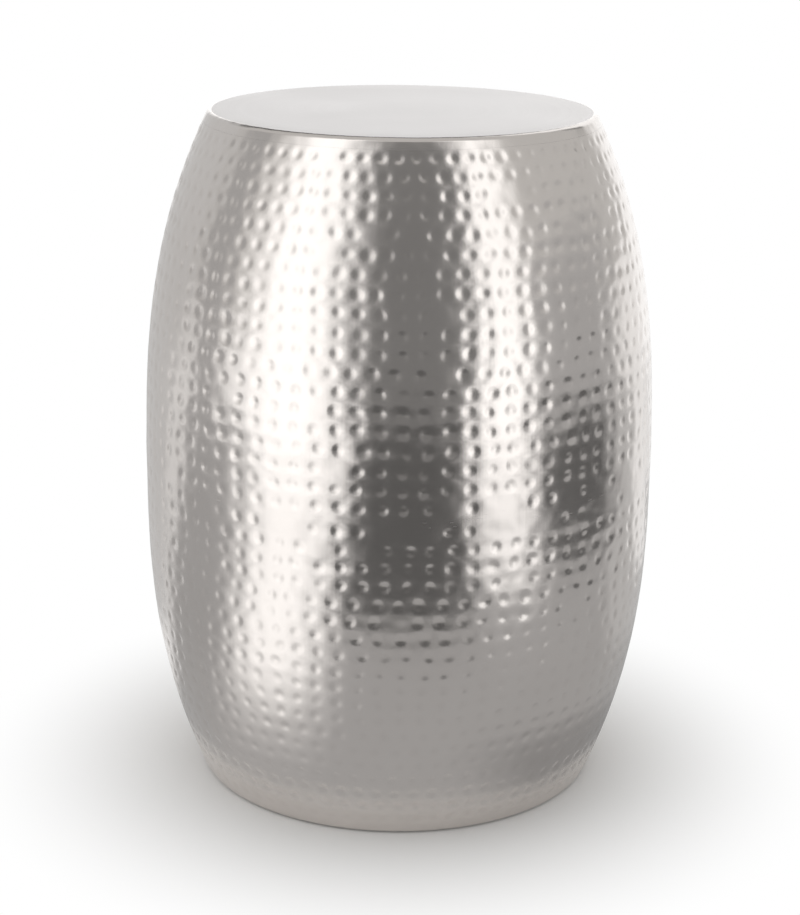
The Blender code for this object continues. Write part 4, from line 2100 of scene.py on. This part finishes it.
CARDS = (
    StandingCard("left_softbox", 1.50, -45.5, 37.0, 33.5, 1.25),
    StandingCard("right_strip", 1.50, 44.5, 20.5, 19.0, 1.35),
    StandingCard("dark_flag_front", 0.215, 4.0, 45.0, 20.0, 2.30, 3.4),
    StandingCard("grey_flag_right", 0.46, 80.0, 42.0, 24.0, 1.60, 0.95),
    StandingCard("back_right_strip", 1.15, 150.0, 22.0, 15.0, 1.50),
    StandingCard("dark_slot_left", 0.42, -90.0, 14.0, 12.0, 1.20, 1.6),
    StandingCard("grey_flag_left", 0.62, -134.0, 34.0, 14.0, 1.70, 1.8),
    StandingCard("back_wall", 1.35, 180.0, 38.0, 12.0, 2.60, 1.60),
    StandingCard("dark_flag_back", 0.10, 180.0, 60.0, 14.0, 2.40, 3.2, 1.35, 0.2),
    # Glowing disc under the table: painted light on the floor in the table's shadow, seen only in the metal
    # inside.
    FloorCard("under_card", 0.75, 0.0, 180.0, 0.01, 0.004, 0.116, 0.001, 0.012, 0.0012),
    # Grey card round the front of the base: painted shade of the floor near the table, seen only in the
    # metal.
    FloorCard("grey_card_near", 0.43, 20.0, 140.0, 20.0, 0.145, 0.76, 0.03, 0.05, 0.0015),
    FloorCard("shade_card_right", 0.31, 72.0, 60.0, 40.0, 0.145, 0.24, 0.02, 0.06, 0.003),
    FloorCard("grey_card_left", 0.41, -80.0, 34.5, 19.0, 0.25, 1.60, 0.12, 0.12, 0.002),
    FloorCard("grey_card_back_left", 0.62, -150.0, 44.0, 16.0, 0.25, 1.80, 0.12, 0.12, 0.003),
    FloorCard("grey_card_back_right", 0.56, 118.0, 30.0, 14.0, 0.25, 1.80, 0.12, 0.12, 0.003),
    # Bright floor card on the left: a painted pool of light from the left softbox, seen only in the metal.
    FloorCard("bright_card_left", 1.36, -46.5, 31.0, 29.0, 0.15, 1.60, 0.24, 0.26, 0.004),
    # Bright floor card on the right: a painted pool of light under the right strip, seen only in the metal.
    FloorCard("bright_card_right", 1.25, 47.0, 20.0, 18.0, 0.47, 1.60, 0.28, 0.25, 0.004),
    FloorCard("bright_card_back_right", 0.98, 130.0, 14.0, 9.0, 0.42, 2.60, 0.14, 0.30, 0.0045),
    FloorCard("dark_card_right", 0.11, 79.0, 31.0, 19.0, 0.64, 1.80, 0.07, 0.10, 0.005),
    FloorCard("dark_card_front", 0.11, 4.0, 31.0, 13.0, 0.44, 2.40, 0.10, 0.30, 0.006),
)

LAMPS = (
    Lamp("overhead", (0.0, 0.7, 2.4), (0.0, 0.7, 0.0), 2.6, 0.60),
    Lamp("left_key", (-1.6, -0.9, 1.5), (0.0, 0.0, 0.2), 1.2, 0.70),
)


@dataclass
class Studio:
    """Pale floor, soft lamps, cards and the camera.

    Attributes:
        floor_radius: radius of the floor.
        floor_sides: sides of the floor.
        floor_tone: colour of the floor.
        floor_roughness: roughness of the floor.
        white_reach: distances from the table at which the floor starts to fade and is white.
        world_tone: colour of the light from all round, and of the studio's walls in the metal.
        wall_radius: distance of the studio's walls.
        wall_cuts: how often the faces of the walls are divided.
        camera_place: where the camera stands.
        camera_pitch: how far the camera looks down, in radians.
        camera_roll: how far the camera leans, in radians.
        lens: focal length in millimetres.
        shift: sideways shift of the lens.
        sensor: width of the film in millimetres.
    """

    floor_radius: float = 30.0
    floor_sides: int = 96
    floor_tone: Colour = (0.86, 0.857, 0.85)
    floor_roughness: float = 0.9
    white_reach: Point2 = (0.11, 0.31)
    world_tone: Colour = (0.60, 0.595, 0.585)
    wall_radius: float = 24.0
    wall_cuts: int = 4
    camera_place: Point3 = (0.0, -1.4274, 0.6542)
    camera_pitch: float = 0.2960
    camera_roll: float = 0.0114
    lens: float = 84.57
    shift: float = 0.0015
    sensor: float = 36.0

    @staticmethod
    def _seen(sheet: NodeSheet) -> Field:
        """One for the rays that show the background, straight or in metal or glass.

        Args:
            sheet: node sheet of the background.

        Returns:
            1 for those rays and 0 for others.
        """
        rays = sheet.node("ShaderNodeLightPath", {})
        straight = sheet.out(rays, "Is Camera Ray") + sheet.out(rays, "Is Glossy Ray")
        return (straight + sheet.out(rays, "Is Transmission Ray")).at_most(1.0)

    def _floor(self) -> None:
        """Pale floor that fades to white away from the table and hides nothing from below."""
        name, shape = "pale_floor", bmesh.new()
        bmesh.ops.create_circle(shape, cap_ends=True, segments=self.floor_sides, radius=self.floor_radius)
        made, sheet = new_material(name)
        shader = made.node_tree.nodes["Principled BSDF"]
        shader.inputs["Base Color"].default_value = (*self.floor_tone, 1.0)
        shader.inputs["Roughness"].default_value = self.floor_roughness
        shader.inputs["Specular IOR Level"].default_value = 0.0
        away = sheet.away(sheet.made("ShaderNodeTexCoord", "Object")).eased(*self.white_reach)
        faded = sheet.blended(away * self._seen(sheet), shader, sheet.glow(WHITE))
        below = sheet.made("ShaderNodeNewGeometry", "Backfacing")
        sheet.shown(sheet.blended(below, faded, sheet.node("ShaderNodeBsdfTransparent", {})))
        place_prop(name, mesh_from(name, shape, outward=False), made, mirrored_only=False)

    def _world(self) -> None:
        """Even pale light from all round, and white behind the floor."""
        world = bpy.data.worlds.new("studio")
        world.use_nodes = True
        sheet = NodeSheet(world.node_tree)
        light = world.node_tree.nodes["Background"]
        light.inputs["Color"].default_value = (*self.world_tone, 1.0)
        white = sheet.node("ShaderNodeBackground", {"Color": (*WHITE, 1.0), "Strength": 1.0})
        sheet.shown(sheet.blended(self._seen(sheet), light, white), "World Output")
        bpy.context.scene.world = world

    def _walls(self) -> None:
        """Grey walls and ceiling of the studio, which show in the metal and not in the picture."""
        name, shape = "studio_walls", bmesh.new()
        bmesh.ops.create_icosphere(shape, subdivisions=self.wall_cuts, radius=self.wall_radius)
        made, sheet = new_material(name, bare=True)
        sheet.shown(sheet.glow(self.world_tone))
        place_prop(name, mesh_from(name, shape, outward=False), made, mirrored_only=True)

    def _camera(self) -> None:
        """Camera at the viewing angle of the photograph."""
        data = bpy.data.cameras.new("camera")
        data.lens = self.lens
        data.sensor_width = self.sensor
        data.shift_x = self.shift
        camera = bpy.data.objects.new("camera", data)
        bpy.context.scene.collection.objects.link(camera)
        tilt = Matrix.Rotation(math.pi / 2 - self.camera_pitch, 4, "X")
        roll = Matrix.Rotation(self.camera_roll, 4, "Z")
        camera.matrix_world = Matrix.Translation(self.camera_place) @ tilt @ roll
        bpy.context.scene.camera = camera

    def build(self) -> None:
        """Puts the studio round the table."""
        scene = bpy.context.scene
        scene.view_settings.view_transform = "Standard"
        self._world()
        self._floor()
        self._walls()
        for item in (*CARDS, *LAMPS):
            item.build()
        self._camera()


def dress_bars(finish: Material) -> None:
    """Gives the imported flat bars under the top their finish.

    Args:
        finish: material of the bars.
    """
    for name in ("cross_bar_long", "cross_bar_back", "cross_bar_front"):
        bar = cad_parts[name]
        for slot in bar.material_slots:
            slot.material = finish
        LOG.info("%s: packed solid with a new finish", name)


def main() -> None:
    """Builds the table piece by piece, then the studio."""
    logging.basicConfig(level=logging.INFO, format="%(message)s", force=True)
    outline = BarrelOutline.from_frame()
    low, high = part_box("seam_weld")
    seam_height = (low.z + high.z) / 2
    steel, zinc = STEEL_FINISH.material(), ZINC_FINISH.material()
    shell, inside = SHELL_FINISH.material(), INNER_FINISH.material()
    skin = HammeredSkin(outline, HammerMarks())
    shells = {half: HalfShell(outline, skin, half, seam_height) for half in Half}
    for half in Half:
        shells[half].build(shell, inside)
    TopPlate(outline).build(TOP_FINISH.material(), shell, inside)
    seam = SeamJoint(outline, seam_height)
    seam.build_weld(WELD_FINISH.material())
    seam.build_band(steel)
    dress_bars(steel)
    low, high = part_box("foot_pad_1")
    centre = (low + high) / 2
    feet = Feet(math.hypot(centre.x, centre.y))
    base = BaseFrame(shells[Half.LOWER], feet.circle)
    base.build_wire(steel)
    base.build_ring(steel, feet.angles())
    feet.build(RUBBER_FINISH.material(), zinc)
    Studio().build()


if __name__ == "__main__":
    main()
